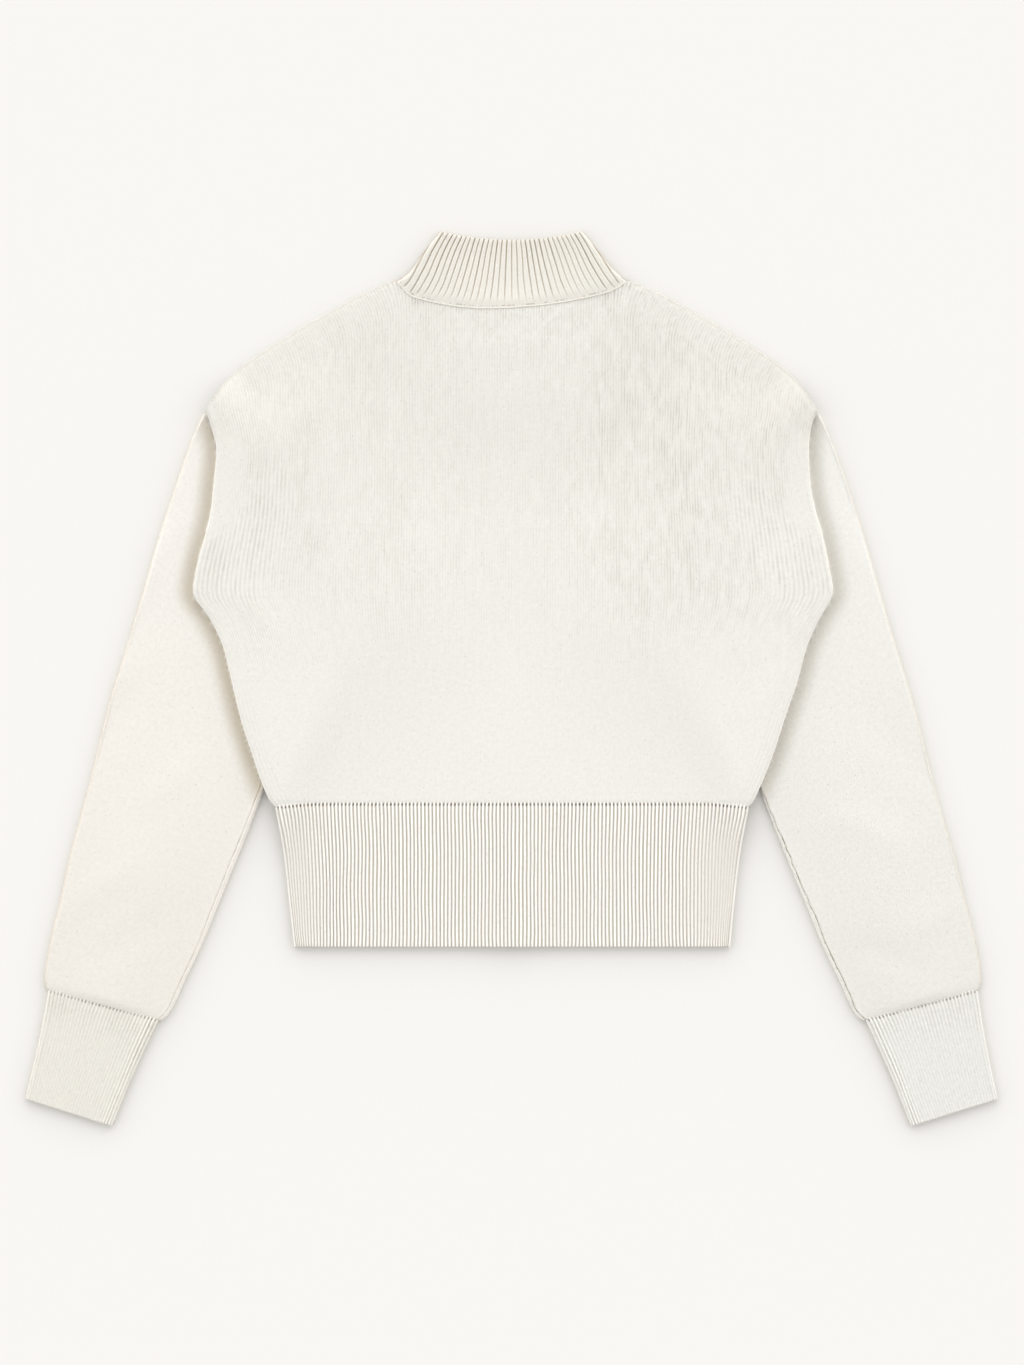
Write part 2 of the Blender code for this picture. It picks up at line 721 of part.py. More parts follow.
def build_zip():
    """The closed separating zip between the fronts: tapes, chain, foot box, slider and pull tab."""
    tape_ends = (ZIP_BOTTOM_Y, ZIP_TOP_Y)
    for name, side in (("zip_tape_left", -1), ("zip_tape_right", 1)):
        strip(name, (side * (CHAIN_HALF + SEAM), side * TAPE_OUTER_X), tape_ends, TAPE_THICK, TAPE)
    chain_ends = (ZIP_BOTTOM_Y + ZIP_BOX_LENGTH + SEAM, SLIDER_Y)
    strip("zip_chain", (-CHAIN_HALF, CHAIN_HALF), chain_ends, CHAIN_THICK, NICKEL)
    box = block_mesh(
        "zip_box",
        (-CHAIN_HALF, ZIP_BOTTOM_Y, ZIP_MIDDLE - ZIP_BOX_THICK / 2),
        (CHAIN_HALF, ZIP_BOTTOM_Y + ZIP_BOX_LENGTH, ZIP_MIDDLE + ZIP_BOX_THICK / 2),
    )
    show("zip_box", box, NICKEL)
    build_pull_tab(build_slider())


def build_sleeve(side, word):
    """A sleeve, tucked under the body at its upper end, and its ribbed cuff."""
    tube(f"sleeve_{word}", side, SLEEVE_SECTIONS, plain_columns(SLEEVE_TOP_COLUMNS), KNIT, capped=True)
    cuff_keys = set(range(0, CUFF_RIBS + 1, 4))
    tube(f"cuff_{word}", side, cuff_sections(), rib_columns(CUFF_RIBS, cuff_keys), RIB_KNIT)


def clear_scene():
    """Removes whatever the scene holds."""
    for thing in list(bpy.data.objects):
        bpy.data.objects.remove(thing, do_unlink=True)


clear_scene()
garment = bpy.data.collections.new("mock_neck_zip_cardigan")
cutters = bpy.data.collections.new("helpers")
bpy.context.scene.collection.children.link(garment)
bpy.context.scene.collection.children.link(cutters)

build_back()
build_front("front_left", -1)
build_front("front_right", 1)
build_waistband()
build_collar()
build_sleeve(-1, "left")
build_sleeve(1, "right")
build_zip()
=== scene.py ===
"""The looks of a cream mock-neck zip cardigan, laid flat with its back facing up.

Every piece of cloth is a thin knitted shell on the form of its solid, with its ribs in the mesh and its
stitches in the material. Threads, loops and zip teeth are set out by Geometry Nodes. Units are metres.
X runs across the garment, Y from hem to neck, and Z up from the floor it lies on.
"""

import logging
import math
from collections.abc import Callable, Sequence
from dataclasses import dataclass, field
from enum import Enum
from typing import Any, NamedTuple

import bmesh
import bpy
import numpy as np
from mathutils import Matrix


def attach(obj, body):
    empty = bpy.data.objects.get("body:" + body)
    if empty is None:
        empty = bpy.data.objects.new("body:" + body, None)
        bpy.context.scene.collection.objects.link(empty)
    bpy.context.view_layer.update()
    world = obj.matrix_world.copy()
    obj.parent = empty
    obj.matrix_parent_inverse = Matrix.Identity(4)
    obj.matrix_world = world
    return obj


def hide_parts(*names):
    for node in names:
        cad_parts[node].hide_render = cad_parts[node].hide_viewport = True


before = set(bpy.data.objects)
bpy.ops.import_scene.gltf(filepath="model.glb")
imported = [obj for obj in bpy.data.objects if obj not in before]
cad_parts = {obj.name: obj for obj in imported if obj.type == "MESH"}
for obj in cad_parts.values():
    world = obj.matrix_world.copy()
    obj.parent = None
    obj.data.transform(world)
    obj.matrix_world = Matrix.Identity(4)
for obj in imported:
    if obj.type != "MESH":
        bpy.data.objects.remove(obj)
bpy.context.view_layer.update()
GARMENT = "cardigan"
PULL_TAB = "pull_tab"
KNIT_MAP = "knit"
MM = 0.001
FOLD_TURN = 80

Array = np.ndarray
Mesh = bpy.types.Mesh
Tree = bpy.types.NodeTree
log = logging.getLogger("cardigan")


# ---------------------------------------------------------------- numbers


def linear(hex_colour: str) -> tuple[float, float, float, float]:
    """Turns an sRGB colour into linear light.

    Args:
        hex_colour: The colour as six hex digits.

    Returns:
        Red, green, blue and an alpha of 1.
    """
    parts = [int(hex_colour[i : i + 2], 16) / 255 for i in (0, 2, 4)]
    light = [p / 12.92 if p <= 0.04045 else ((p + 0.055) / 1.055) ** 2.4 for p in parts]
    return (light[0], light[1], light[2], 1.0)


def lerp(a: Any, b: Any, share: Any) -> Any:
    """The value at a share of the way from a to b."""
    return a + (b - a) * share


def ease(low: float, high: float, value: Any) -> Any:
    """0 below low, 1 above high, and a smooth rise between."""
    share = np.clip((value - low) / (high - low), 0.0, 1.0)
    return share * share * (3 - 2 * share)


def hump(value: Any, width: float) -> Any:
    """A soft bump of height 1 at 0, which fades over the width on both sides."""
    return np.exp(-((value / width) ** 2))


@dataclass(frozen=True)
class Track:
    """A smooth line through a short table, which never overshoots its points.

    Attributes:
        at: The places, in rising order.
        value: The value at each place.
    """

    at: Sequence[float]
    value: Sequence[float]

    def __call__(self, places: Any) -> Array:
        """The values at some places."""
        xs, ys = np.array(self.at), np.array(self.value)
        step = np.diff(xs)
        rise = np.diff(ys) / step
        slope = np.zeros_like(ys)
        level = rise[:-1] * rise[1:]
        total = np.where(level > 0, rise[:-1] + rise[1:], 1.0)
        slope[1:-1] = np.where(level > 0, 2 * level / total, 0.0)
        slope[0], slope[-1] = rise[0], rise[-1]
        places = np.clip(places, xs[0], xs[-1])
        k = np.clip(np.searchsorted(xs, places, side="right") - 1, 0, len(xs) - 2)
        t = (places - xs[k]) / step[k]
        ends = (1 + 2 * t) * (1 - t) ** 2 * ys[k] + t**2 * (3 - 2 * t) * ys[k + 1]
        return ends + step[k] * (t * (1 - t) ** 2 * slope[k] - t**2 * (1 - t) * slope[k + 1])


@dataclass(frozen=True)
class Drift:
    """Uneven, smooth variation between -1 and 1 over the cloth, the same each run.

    Attributes:
        seed: Which pattern.
        wide: How far apart its hills are across, in metres.
        long: How far apart they are along.
    """

    seed: int
    wide: float
    long: float

    def __call__(self, x: Any, y: Any) -> Array:
        """The variation at some places."""
        cells = 97
        hills = np.random.default_rng(self.seed).uniform(-1, 1, (cells, cells))
        u, v = np.asarray(x) / self.wide + cells, np.asarray(y) / self.long + cells
        i, j = np.floor(u).astype(int), np.floor(v).astype(int)
        s, t = ease(0, 1, u - i), ease(0, 1, v - j)
        i, j, after_i, after_j = i % cells, j % cells, (i + 1) % cells, (j + 1) % cells
        near = lerp(hills[i, j], hills[after_i, j], s)
        far = lerp(hills[i, after_j], hills[after_i, after_j], s)
        return lerp(near, far, t)


def distance_to_line(x: Array, y: Array, line: Array) -> Array:
    """How far each place lies from a line of points.

    Args:
        x: Places across.
        y: Places along, in the same shape.
        line: The points, one row each.

    Returns:
        The distances, in the same shape.
    """
    nearest = np.full(np.shape(x), np.inf)
    for (ax, ay), (bx, by) in zip(line[:-1], line[1:]):
        dx, dy = bx - ax, by - ay
        along = np.clip(((x - ax) * dx + (y - ay) * dy) / (dx * dx + dy * dy), 0, 1)
        nearest = np.minimum(nearest, np.hypot(x - ax - along * dx, y - ay - along * dy))
    return nearest


def inside_line(x: Array, y: Array, line: Array) -> Array:
    """Which places lie inside a closed line of points."""
    inside = np.zeros(np.shape(x), bool)
    for (ax, ay), (bx, by) in zip(line, np.roll(line, -1, axis=0)):
        if ay == by:
            continue
        crosses = ((ay > y) != (by > y)) & (x < ax + (y - ay) * (bx - ax) / (by - ay))
        inside ^= crosses
    return inside


def distance_outside(x: Array, y: Array, outline: Array) -> Array:
    """How far each place lies outside a closed line of points, and 0 inside."""
    beside = distance_to_line(x, y, np.vstack([outline, outline[:1]]))
    return np.where(inside_line(x, y, outline), 0, beside)


class Crease(NamedTuple):
    """A soft trough or ridge pressed into the cloth, from one point to another."""

    start_x: float
    start_y: float
    end_x: float
    end_y: float
    width: float
    height: float


def creased(x: Array, y: Array, creases: Sequence[Crease]) -> Array:
    """How far creases raise the cloth at each place."""
    total = np.zeros(np.shape(x))
    for crease in creases:
        dx, dy = crease.end_x - crease.start_x, crease.end_y - crease.start_y
        length = math.hypot(dx, dy)
        along = ((x - crease.start_x) * dx + (y - crease.start_y) * dy) / length**2
        aside = ((x - crease.start_x) * dy - (y - crease.start_y) * dx) / length
        bow = aside + 0.06 * length * np.sin(math.pi * np.clip(along, 0, 1))
        taper = ease(-0.25, 0.3, along) * (1 - ease(0.6, 1.25, along))
        total += crease.height * hump(bow, crease.width) * taper
    return total


class Side(Enum):
    """A side of the garment as it lies, with the sign of X there."""

    LEFT = -1
    RIGHT = 1

    @property
    def word(self) -> str:
        """The side's name in lower case."""
        return self.name.lower()


# ---------------------------------------------------------------- finishes


def add(tree: Tree, kind: str, sockets: dict[Any, Any] | None = None, **settings: Any) -> Any:
    """Adds a node with its settings and links.

    Args:
        tree: The node tree.
        kind: The node's type.
        sockets: For an input's name or number, a value or the output that it is linked to.
        **settings: The node's own properties.

    Returns:
        The node.
    """
    made = tree.nodes.new(kind)
    for name, value in settings.items():
        setattr(made, name, value)
    for socket, value in (sockets or {}).items():
        if isinstance(value, bpy.types.NodeSocket):
            tree.links.new(value, made.inputs[socket])
        else:
            made.inputs[socket].default_value = value
    return made


def computed(tree: Tree, operation: str, *values: Any) -> Any:
    """The result of a maths node, with its inputs in order."""
    return add(tree, "ShaderNodeMath", dict(enumerate(values)), operation=operation).outputs[0]


def noise(tree: Tree, where: Any, grain: float, detail: float) -> Any:
    """Noise between 0 and 1 over some places, with its grain in metres."""
    sockets = {"Vector": where, "Scale": 1 / grain, "Detail": detail}
    return add(tree, "ShaderNodeTexNoise", sockets).outputs["Fac"]


def ranged(tree: Tree, value: Any, low: float, high: float, first: float, last: float) -> Any:
    """A value from low to high, mapped to lie from first to last."""
    return add(tree, "ShaderNodeMapRange", {0: value, 1: low, 2: high, 3: first, 4: last}).outputs[0]


def scaled(tree: Tree, colour: Any, by: Any) -> Any:
    """A colour, made lighter or darker."""
    return add(tree, "ShaderNodeVectorMath", {0: colour, "Scale": by}, operation="SCALE").outputs[0]


def relief(tree: Tree, strength: float, depth: float, height: Any) -> Any:
    """The way a surface faces where a pattern raises it."""
    sockets = {"Strength": strength, "Distance": depth, "Height": height}
    return add(tree, "ShaderNodeBump", sockets).outputs[0]


def object_place(tree: Tree) -> Any:
    """Where a point is, in the object's own metres."""
    return add(tree, "ShaderNodeTexCoord").outputs["Object"]


@dataclass(frozen=True)
class Finish:
    """What a piece is made of.

    Attributes:
        name: The material's name.
    """

    name: str

    def material(self) -> bpy.types.Material:
        """The finish as a material, made once."""
        found = bpy.data.materials.get(self.name)
        if found:
            return found
        made = bpy.data.materials.new(self.name)
        made.use_nodes = True
        tree = made.node_tree
        tree.nodes.clear()
        surface = add(tree, "ShaderNodeBsdfPrincipled", self.surface(tree))
        add(tree, "ShaderNodeOutputMaterial", {"Surface": surface.outputs["BSDF"]})
        return made

    def surface(self, tree: Tree) -> dict[str, Any]:
        """The surface's inputs, by name."""
        raise NotImplementedError


@dataclass(frozen=True)
class KnitFinish(Finish):
    """Cotton-blend yarn knitted to a soft matte cloth.

    The yarn scatters light in all directions and has a faint fuzz at grazing angles. Stitches stand
    as rows of small leaning loops along each wale, and the dye takes a little unevenly.

    Attributes:
        yarn: Colour of the crests.
        hollow: Colour of painted shade: deep between the ribs, in folds and seams, beside the body's edge.
        hole: Colour of painted shade in each transfer hole, in the sleeve seam's dashes and on side rims.
        wale: Width of one column of stitches, in metres.
        course: Height of one row of stitches, in metres.
        stitch: How far a stitch stands proud, in metres.
        mottle: Share by which the colour varies from place to place.
    """

    yarn: str
    hollow: str
    hole: str = "6F604C"
    wale: float = 1.5 * MM
    course: float = 1.2 * MM
    stitch: float = 0.12 * MM
    mottle: float = 0.03

    def surface(self, tree: Tree) -> dict[str, Any]:
        """Matte yarn, with a faint sheen of loose fibre."""
        where = add(tree, "ShaderNodeUVMap", uv_map=KNIT_MAP).outputs["UV"]
        return {
            "Base Color": self._colour(tree, where),
            "Roughness": 0.92,
            "IOR": 1.45,
            "Specular IOR Level": 0.15,
            "Sheen Weight": 0.12,
            "Sheen Roughness": 0.5,
            "Normal": self._stitches(tree, where),
        }

    def _colour(self, tree: Tree, where: Any) -> Any:
        """The colour: painted shade by the rib and hole marks, uneven dye and a few darker flecks of fibre.
        """
        colour = linear(self.hollow)
        for mark, other in (("rib", self.yarn), ("hole", self.hole)):
            share = add(tree, "ShaderNodeAttribute", attribute_name=mark).outputs["Fac"]
            sockets = {0: share, 6: colour, 7: linear(other)}
            colour = add(tree, "ShaderNodeMix", sockets, data_type="RGBA").outputs[2]
        clouds = noise(tree, where, grain=3.2 * MM, detail=3.0)
        flecks = noise(tree, where, grain=1.9 * MM, detail=0.0)
        dyed = ranged(tree, clouds, 0.3, 0.7, 1 - self.mottle, 1 + self.mottle)
        flecked = ranged(tree, flecks, 0.74, 0.82, 1.0, 0.86)
        return scaled(tree, colour, computed(tree, "MULTIPLY", dyed, flecked))

    def _stitches(self, tree: Tree, where: Any) -> Any:
        """The stitches: leaning loops in each wale, with the yarn's own fuzz over them."""
        split = add(tree, "ShaderNodeSeparateXYZ", {0: where})
        wale = computed(tree, "DIVIDE", split.outputs[0], self.wale)
        course = computed(tree, "DIVIDE", split.outputs[1], self.course)
        middle = computed(tree, "PINGPONG", wale, 0.5)
        leaning = computed(tree, "MULTIPLY_ADD", middle, 1.3, course)
        loop = computed(tree, "SINE", computed(tree, "MULTIPLY", leaning, 2 * math.pi))
        soft = computed(tree, "MULTIPLY_ADD", loop, 0.35, 0.65)
        stitch = computed(tree, "MULTIPLY", soft, middle)
        fuzz = noise(tree, where, grain=0.9 * MM, detail=4.0)
        height = computed(tree, "MULTIPLY_ADD", fuzz, 0.5, stitch)
        return relief(tree, 0.8, 2 * self.stitch, height)


@dataclass(frozen=True)
class ThreadFinish(Finish):
    """Spun sewing thread, matte, with its twist as a fine slanting relief.

    Attributes:
        colour: The thread's colour.
    """

    colour: str

    def surface(self, tree: Tree) -> dict[str, Any]:
        """Matte, with a little painted shade in the turns of the twist."""
        twist = noise(tree, object_place(tree), grain=0.4 * MM, detail=2.0)
        shade = ranged(tree, twist, 0.3, 0.7, 0.9, 1.04)
        return {
            "Base Color": scaled(tree, linear(self.colour)[:3], shade),
            "Roughness": 0.85,
            "Specular IOR Level": 0.2,
            "Normal": relief(tree, 0.5, 0.1 * MM, twist),
        }


@dataclass(frozen=True)
class TwillTapeFinish(Finish):
    """Woven polyester zip tape: fine slanting twill lines, a little smoother than the knit.

    Attributes:
        colour: The tape's colour.
        rib: Distance between twill lines, in metres. It is drawn at twice its real size to show.
        slant: The twill's angle, in degrees.
    """

    name: str = "woven_zip_tape"
    colour: str = "E9E3D6"
    rib: float = 0.9 * MM
    slant: float = 63.0

    def surface(self, tree: Tree) -> dict[str, Any]:
        """Twill lines, with painted shade between them."""
        turn = (0, 0, math.radians(self.slant))
        turned = add(tree, "ShaderNodeMapping", {0: object_place(tree), "Rotation": turn}).outputs[0]
        sockets = {"Vector": turned, "Scale": 1 / (self.rib * math.pi), "Distortion": 0.4}
        lines = add(tree, "ShaderNodeTexWave", sockets).outputs["Fac"]
        shade = ranged(tree, lines, 0.0, 1.0, 0.86, 1.0)
        return {
            "Base Color": scaled(tree, linear(self.colour)[:3], shade),
            "Roughness": 0.7,
            "Specular IOR Level": 0.3,
            "Normal": relief(tree, 0.6, 0.1 * MM, lines),
        }


@dataclass(frozen=True)
class NickelFinish(Finish):
    """Zinc casting, barrel polished and nickel plated: bright, with soft cloudy wear.

    Attributes:
        colour: The plating's colour.
    """

    name: str = "satin_nickel_plate"
    colour: str = "C9C5BC"

    def surface(self, tree: Tree) -> dict[str, Any]:
        """Metal, rougher and a little darker where it is worn."""
        wear = noise(tree, object_place(tree), grain=1.5 * MM, detail=5.0)
        shade = ranged(tree, wear, 0.3, 0.7, 0.9, 1.0)
        return {
            "Base Color": scaled(tree, linear(self.colour)[:3], shade),
            "Metallic": 1.0,
            "Roughness": ranged(tree, wear, 0.3, 0.7, 0.24, 0.42),
            "Normal": relief(tree, 0.2, 0.05 * MM, wear),
        }


@dataclass(frozen=True)
class FloorFinish(Finish):
    """Seamless studio paper, matte and nearly white, with its fine tooth as a faint change of tone.

    Attributes:
        colour: The paper's colour.
    """

    name: str = "studio_paper"
    colour: str = "F0EEEB"

    def surface(self, tree: Tree) -> dict[str, Any]:
        """Paper with no shine."""
        tooth = noise(tree, object_place(tree), grain=2.5 * MM, detail=2.0)
        shade = ranged(tree, tooth, 0.3, 0.7, 0.997, 1.003)
        return {
            "Base Color": scaled(tree, linear(self.colour)[:3], shade),
            "Roughness": 1.0,
            "Specular IOR Level": 0.0,
        }


# Each knit's second colour is its hollow, the colour of its painted shade.
BODY_KNIT = KnitFinish("fine_rib_body_knit", "EDEAE3", "CECAC1", wale=2.2 * MM, course=1.5 * MM)
SLEEVE_KNIT = KnitFinish("plain_jersey_sleeve_knit", "F0ECE5", "CBC0AD", stitch=0.11 * MM)
# The right sleeve and cuff get cooler, greyer copies of their knits: painted cooler light on that side.
COOL_LIGHT_SLEEVE_KNIT = KnitFinish("plain_jersey_sleeve_knit_painted_cool_light", "EDEBE5", "C6BEAF", stitch=0.12 * MM)
# The waistband's crest colour is near white, brighter than the other knits: a painted highlight.
WAIST_RIB = KnitFinish("deep_rib_waistband_knit", "FEFDF9", "C8BFB1", wale=3.0 * MM, mottle=0.02)
CUFF_RIB = KnitFinish("rib_cuff_knit", "EBE8E0", "C9C1B2", wale=2.8 * MM, mottle=0.035, stitch=0.2 * MM)
COOL_LIGHT_CUFF_RIB = KnitFinish(
    "rib_cuff_knit_painted_cool_light", "ECEBE7", "C6BFB4", wale=2.8 * MM, mottle=0.045, stitch=0.22 * MM
)
COLLAR_RIB = KnitFinish("rib_collar_knit", "EAE6DD", "B0A48F", wale=5.0 * MM, mottle=0.02)
LINKING_YARN = ThreadFinish("cream_linking_yarn", "F0EEE8")
# A darker copy of the linking yarn for the collar's chain: painted shade.
SHADED_NECK_YARN = ThreadFinish("neck_linking_yarn_painted_shade", "DCD8CE")
SHADED_YARN = ThreadFinish("shaded_linking_yarn", "C8C2B4")
SEAM_THREAD = ThreadFinish("shadowed_seam_thread", "B5A68E")
SEWING_THREAD = ThreadFinish("cream_sewing_thread", "EFEADF")
TAPE = TwillTapeFinish()
NICKEL = NickelFinish()


# ---------------------------------------------------------------- meshes


@dataclass
class Shell:
    """A closed wall of cloth: a fine outer face, a coarser inner face, and rims that join them.

    Attributes:
        outer: Points of the outer face, by row and column.
        inner: Points of the inner face, in the same layout. Only those at the keys are used.
        rows: The rows that the inner face has.
        columns: The columns that the inner face has.
        knit: Place on the knit for each outer point, across and along, in metres.
        marks: Values for the material at each outer point, by name.
        ring: Whether the columns run round a tube.
        capped: Whether a tube is closed at its last row.
    """

    outer: Array
    inner: Array
    rows: Sequence[int]
    columns: Sequence[int]
    knit: Array
    marks: dict[str, Array] = field(default_factory=dict)
    ring: bool = False
    capped: bool = False

    def mesh(self, name: str) -> Mesh:
        """Builds the wall as one closed mesh, with its faces outward.

        Args:
            name: The mesh's name.

        Returns:
            The mesh, with the knit's map and the marks on it.
        """
        height, width = self.outer.shape[:2]
        grid = np.arange(height * width).reshape(height, width)
        keyed = self.inner[np.ix_(self.rows, self.columns)]
        inner_grid = height * width + np.arange(keyed.shape[0] * keyed.shape[1]).reshape(keyed.shape[:2])
        under = grid[np.ix_(self.rows, self.columns)].ravel()
        if self.ring:
            grid = np.hstack([grid, grid[:, :1]])
            inner_grid = np.hstack([inner_grid, inner_grid[:, :1]])
        faces = self._squares(grid) + [face[::-1] for face in self._squares(inner_grid)]
        faces += self._rims(grid, inner_grid, width)
        points = np.vstack([self.outer.reshape(-1, 3), keyed.reshape(-1, 3)])

        made = bpy.data.meshes.new(name)
        made.from_pydata(points.tolist(), [], faces)
        self._orient(made, points)
        self._map(made, np.vstack([self.knit.reshape(-1, 2), self.knit.reshape(-1, 2)[under]]))
        for mark, values in self.marks.items():
            flat = np.asarray(values, float).ravel()
            attribute = made.attributes.new(mark, "FLOAT", "POINT")
            attribute.data.foreach_set("value", np.concatenate([flat, flat[under]]).astype(np.float32))
        made.shade_smooth()
        made.set_sharp_from_angle(angle=math.radians(75))
        return made

    @staticmethod
    def _squares(grid: Array) -> list[list[int]]:
        """The faces between the points of a grid."""
        corners = (grid[:-1, :-1], grid[:-1, 1:], grid[1:, 1:], grid[1:, :-1])
        return np.stack([corner.ravel() for corner in corners], axis=1).tolist()

    def _rims(self, grid: Array, inner_grid: Array, width: int) -> list[list[int]]:
        """The faces that join the two walls round their edges."""
        rims = []
        stops = [*self.columns, width] if self.ring else list(self.columns)
        for k, (start, end) in enumerate(zip(stops, stops[1:])):
            low = grid[0, start : end + 1][::-1].tolist()
            rims.append(low + [int(inner_grid[0, k]), int(inner_grid[0, k + 1])])
            if not self.capped:
                high = grid[-1, start : end + 1].tolist()
                rims.append(high + [int(inner_grid[-1, k + 1]), int(inner_grid[-1, k])])
        if self.capped:
            rims.append(grid[-1, :width].tolist())
            rims.append(inner_grid[-1, : len(self.columns)][::-1].tolist())
        if not self.ring:
            for k, (start, end) in enumerate(zip(self.rows, self.rows[1:])):
                first = grid[start : end + 1, 0].tolist()
                rims.append(first + [int(inner_grid[k + 1, 0]), int(inner_grid[k, 0])])
                last = grid[start : end + 1, -1][::-1].tolist()
                rims.append(last + [int(inner_grid[k, -1]), int(inner_grid[k + 1, -1])])
        return rims

    @staticmethod
    def _orient(made: Mesh, points: Array) -> None:
        """Turns every face round if the wall is inside out."""
        made.calc_loop_triangles()
        corners = np.zeros(len(made.loop_triangles) * 3, np.int32)
        made.loop_triangles.foreach_get("vertices", corners)
        a, b, c = points[corners.reshape(-1, 3)].transpose(1, 0, 2)
        if np.einsum("ij,ij->i", a, np.cross(b, c)).sum() < 0:
            made.flip_normals()

    @staticmethod
    def _map(made: Mesh, knit: Array) -> None:
        """Lays the knit's map on the mesh."""
        corners = np.zeros(len(made.loops), np.int32)
        made.loops.foreach_get("vertex_index", corners)
        layer = made.uv_layers.new(name=KNIT_MAP)
        layer.uv.foreach_set("vector", knit[corners].astype(np.float32).ravel())


class Cut(NamedTuple):
    """The flat size that a piece of cloth was cut or knitted to."""

    width: float
    length: float
    area: float


def place(name: str, mesh: Mesh, finish: Finish, slot: str, body: str = GARMENT) -> bpy.types.Object:
    """Puts a finished mesh in the scene, on the body that it moves with.

    Args:
        name: The piece's name.
        mesh: Its mesh, in place.
        finish: What it is made of.
        slot: Not used.
        body: The body that it rides on.

    Returns:
        The piece.
    """
    if not mesh.materials:
        mesh.materials.append(finish.material())
    piece = bpy.data.objects.new(name, mesh)
    bpy.context.scene.collection.objects.link(piece)
    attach(piece, body)
    log.info("%s: %d faces", name, len(mesh.polygons))
    return piece


def lay_cloth(
    name: str,
    mesh: Mesh,
    finish: Finish,
    slot: str,
    node: str,
) -> bpy.types.Object:
    """Puts a piece of cloth in the scene in the place of its solid.

    Args:
        name: The piece's name.
        mesh: Its mesh, in place.
        finish: What it is made of.
        slot: The slot for its finish, handed on to place.
        node: The solid that it stands for.

    Returns:
        The piece.
    """
    piece = place(name, mesh, finish, slot)
    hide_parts(node)
    return piece


# ---------------------------------------------------------------- rows of stitches and teeth


class Row:
    """A Geometry Nodes tree that sets copies of one small form along a line.

    Its sizes are inputs of the tree, and the copies are made real and get their material there.
    """

    def __init__(self, name: str, sizes: Sequence[str], others: dict[str, str]) -> None:
        """Starts the tree with its inputs and the line.

        Args:
            name: The tree's name.
            sizes: The names of its sizes.
            others: The kind of each other input, by name.
        """
        self.tree = bpy.data.node_groups.new(name, "GeometryNodeTree")
        kinds = {"Geometry": "Geometry", **dict.fromkeys(sizes, "Float"), **others, "Material": "Material"}
        for socket, kind in kinds.items():
            self.tree.interface.new_socket(socket, in_out="INPUT", socket_type=f"NodeSocket{kind}")
        self.tree.interface.new_socket("Geometry", in_out="OUTPUT", socket_type="NodeSocketGeometry")
        self.given = self.node("NodeGroupInput").outputs
        self.line = self.node("GeometryNodeMeshToCurve", {"Mesh": self.given["Geometry"]}).outputs["Curve"]

    def node(self, kind: str, sockets: dict[Any, Any] | None = None, **settings: Any) -> Any:
        """Adds a node to the tree."""
        return add(self.tree, kind, sockets, **settings)

    def share(self, size: Any, factor: float) -> Any:
        """A share of a size."""
        return computed(self.tree, "MULTIPLY", size, factor)

    def vector(self, **parts: Any) -> Any:
        """A vector with the parts X, Y and Z that are given."""
        return self.node("ShaderNodeCombineXYZ", parts).outputs[0]

    def spaced(self, step: Any) -> Any:
        """The line, with its points a step apart."""
        sockets = {"Curve": self.line, "Length": step}
        return self.node("GeometryNodeResampleCurve", sockets, mode="LENGTH").outputs["Curve"]

    def set_out(self, sockets: dict[str, Any]) -> None:
        """Sets out the copies, makes them real, and gives them their material.

        Args:
            sockets: The points, the form, and how it is turned and scaled there.
        """
        copies = self.node("GeometryNodeInstanceOnPoints", sockets).outputs["Instances"]
        real = self.node("GeometryNodeRealizeInstances", {"Geometry": copies}).outputs["Geometry"]
        finish = {"Geometry": real, "Material": self.given["Material"]}
        dressed = self.node("GeometryNodeSetMaterial", finish).outputs["Geometry"]
        self.node("NodeGroupOutput", {"Geometry": dressed})

    def grown(self, name: str, lines: Sequence[Array], ups: Sequence[Array], **values: Any) -> Mesh:
        """Runs the tree on a guide.

        Args:
            name: The guide's name.
            lines: The points of each of the guide's lines.
            ups: The way that the surface faces at those points, where the tree asks for it.
            **values: The tree's inputs, by name.

        Returns:
            The plain mesh that the tree makes. The guide is removed.
        """
        edges, first = [], 0
        for line in lines:
            edges += [(i, i + 1) for i in range(first, first + len(line) - 1)]
            first += len(line)
        mesh = bpy.data.meshes.new(name)
        mesh.from_pydata(np.vstack(lines).tolist(), edges, [])
        if ups:
            up = mesh.attributes.new("up", "FLOAT_VECTOR", "POINT")
            up.data.foreach_set("vector", np.vstack(ups).ravel())
        guide = bpy.data.objects.new("guide", mesh)
        bpy.context.scene.collection.objects.link(guide)
        nodes = guide.modifiers.new("rows", "NODES")
        nodes.node_group = self.tree
        for item in self.tree.interface.items_tree:
            if item.in_out == "INPUT" and item.name in values:
                nodes[item.identifier] = values[item.name]
        bpy.context.view_layer.update()
        shown = guide.evaluated_get(bpy.context.evaluated_depsgraph_get())
        made = bpy.data.meshes.new_from_object(shown)
        bpy.data.objects.remove(guide)
        return made


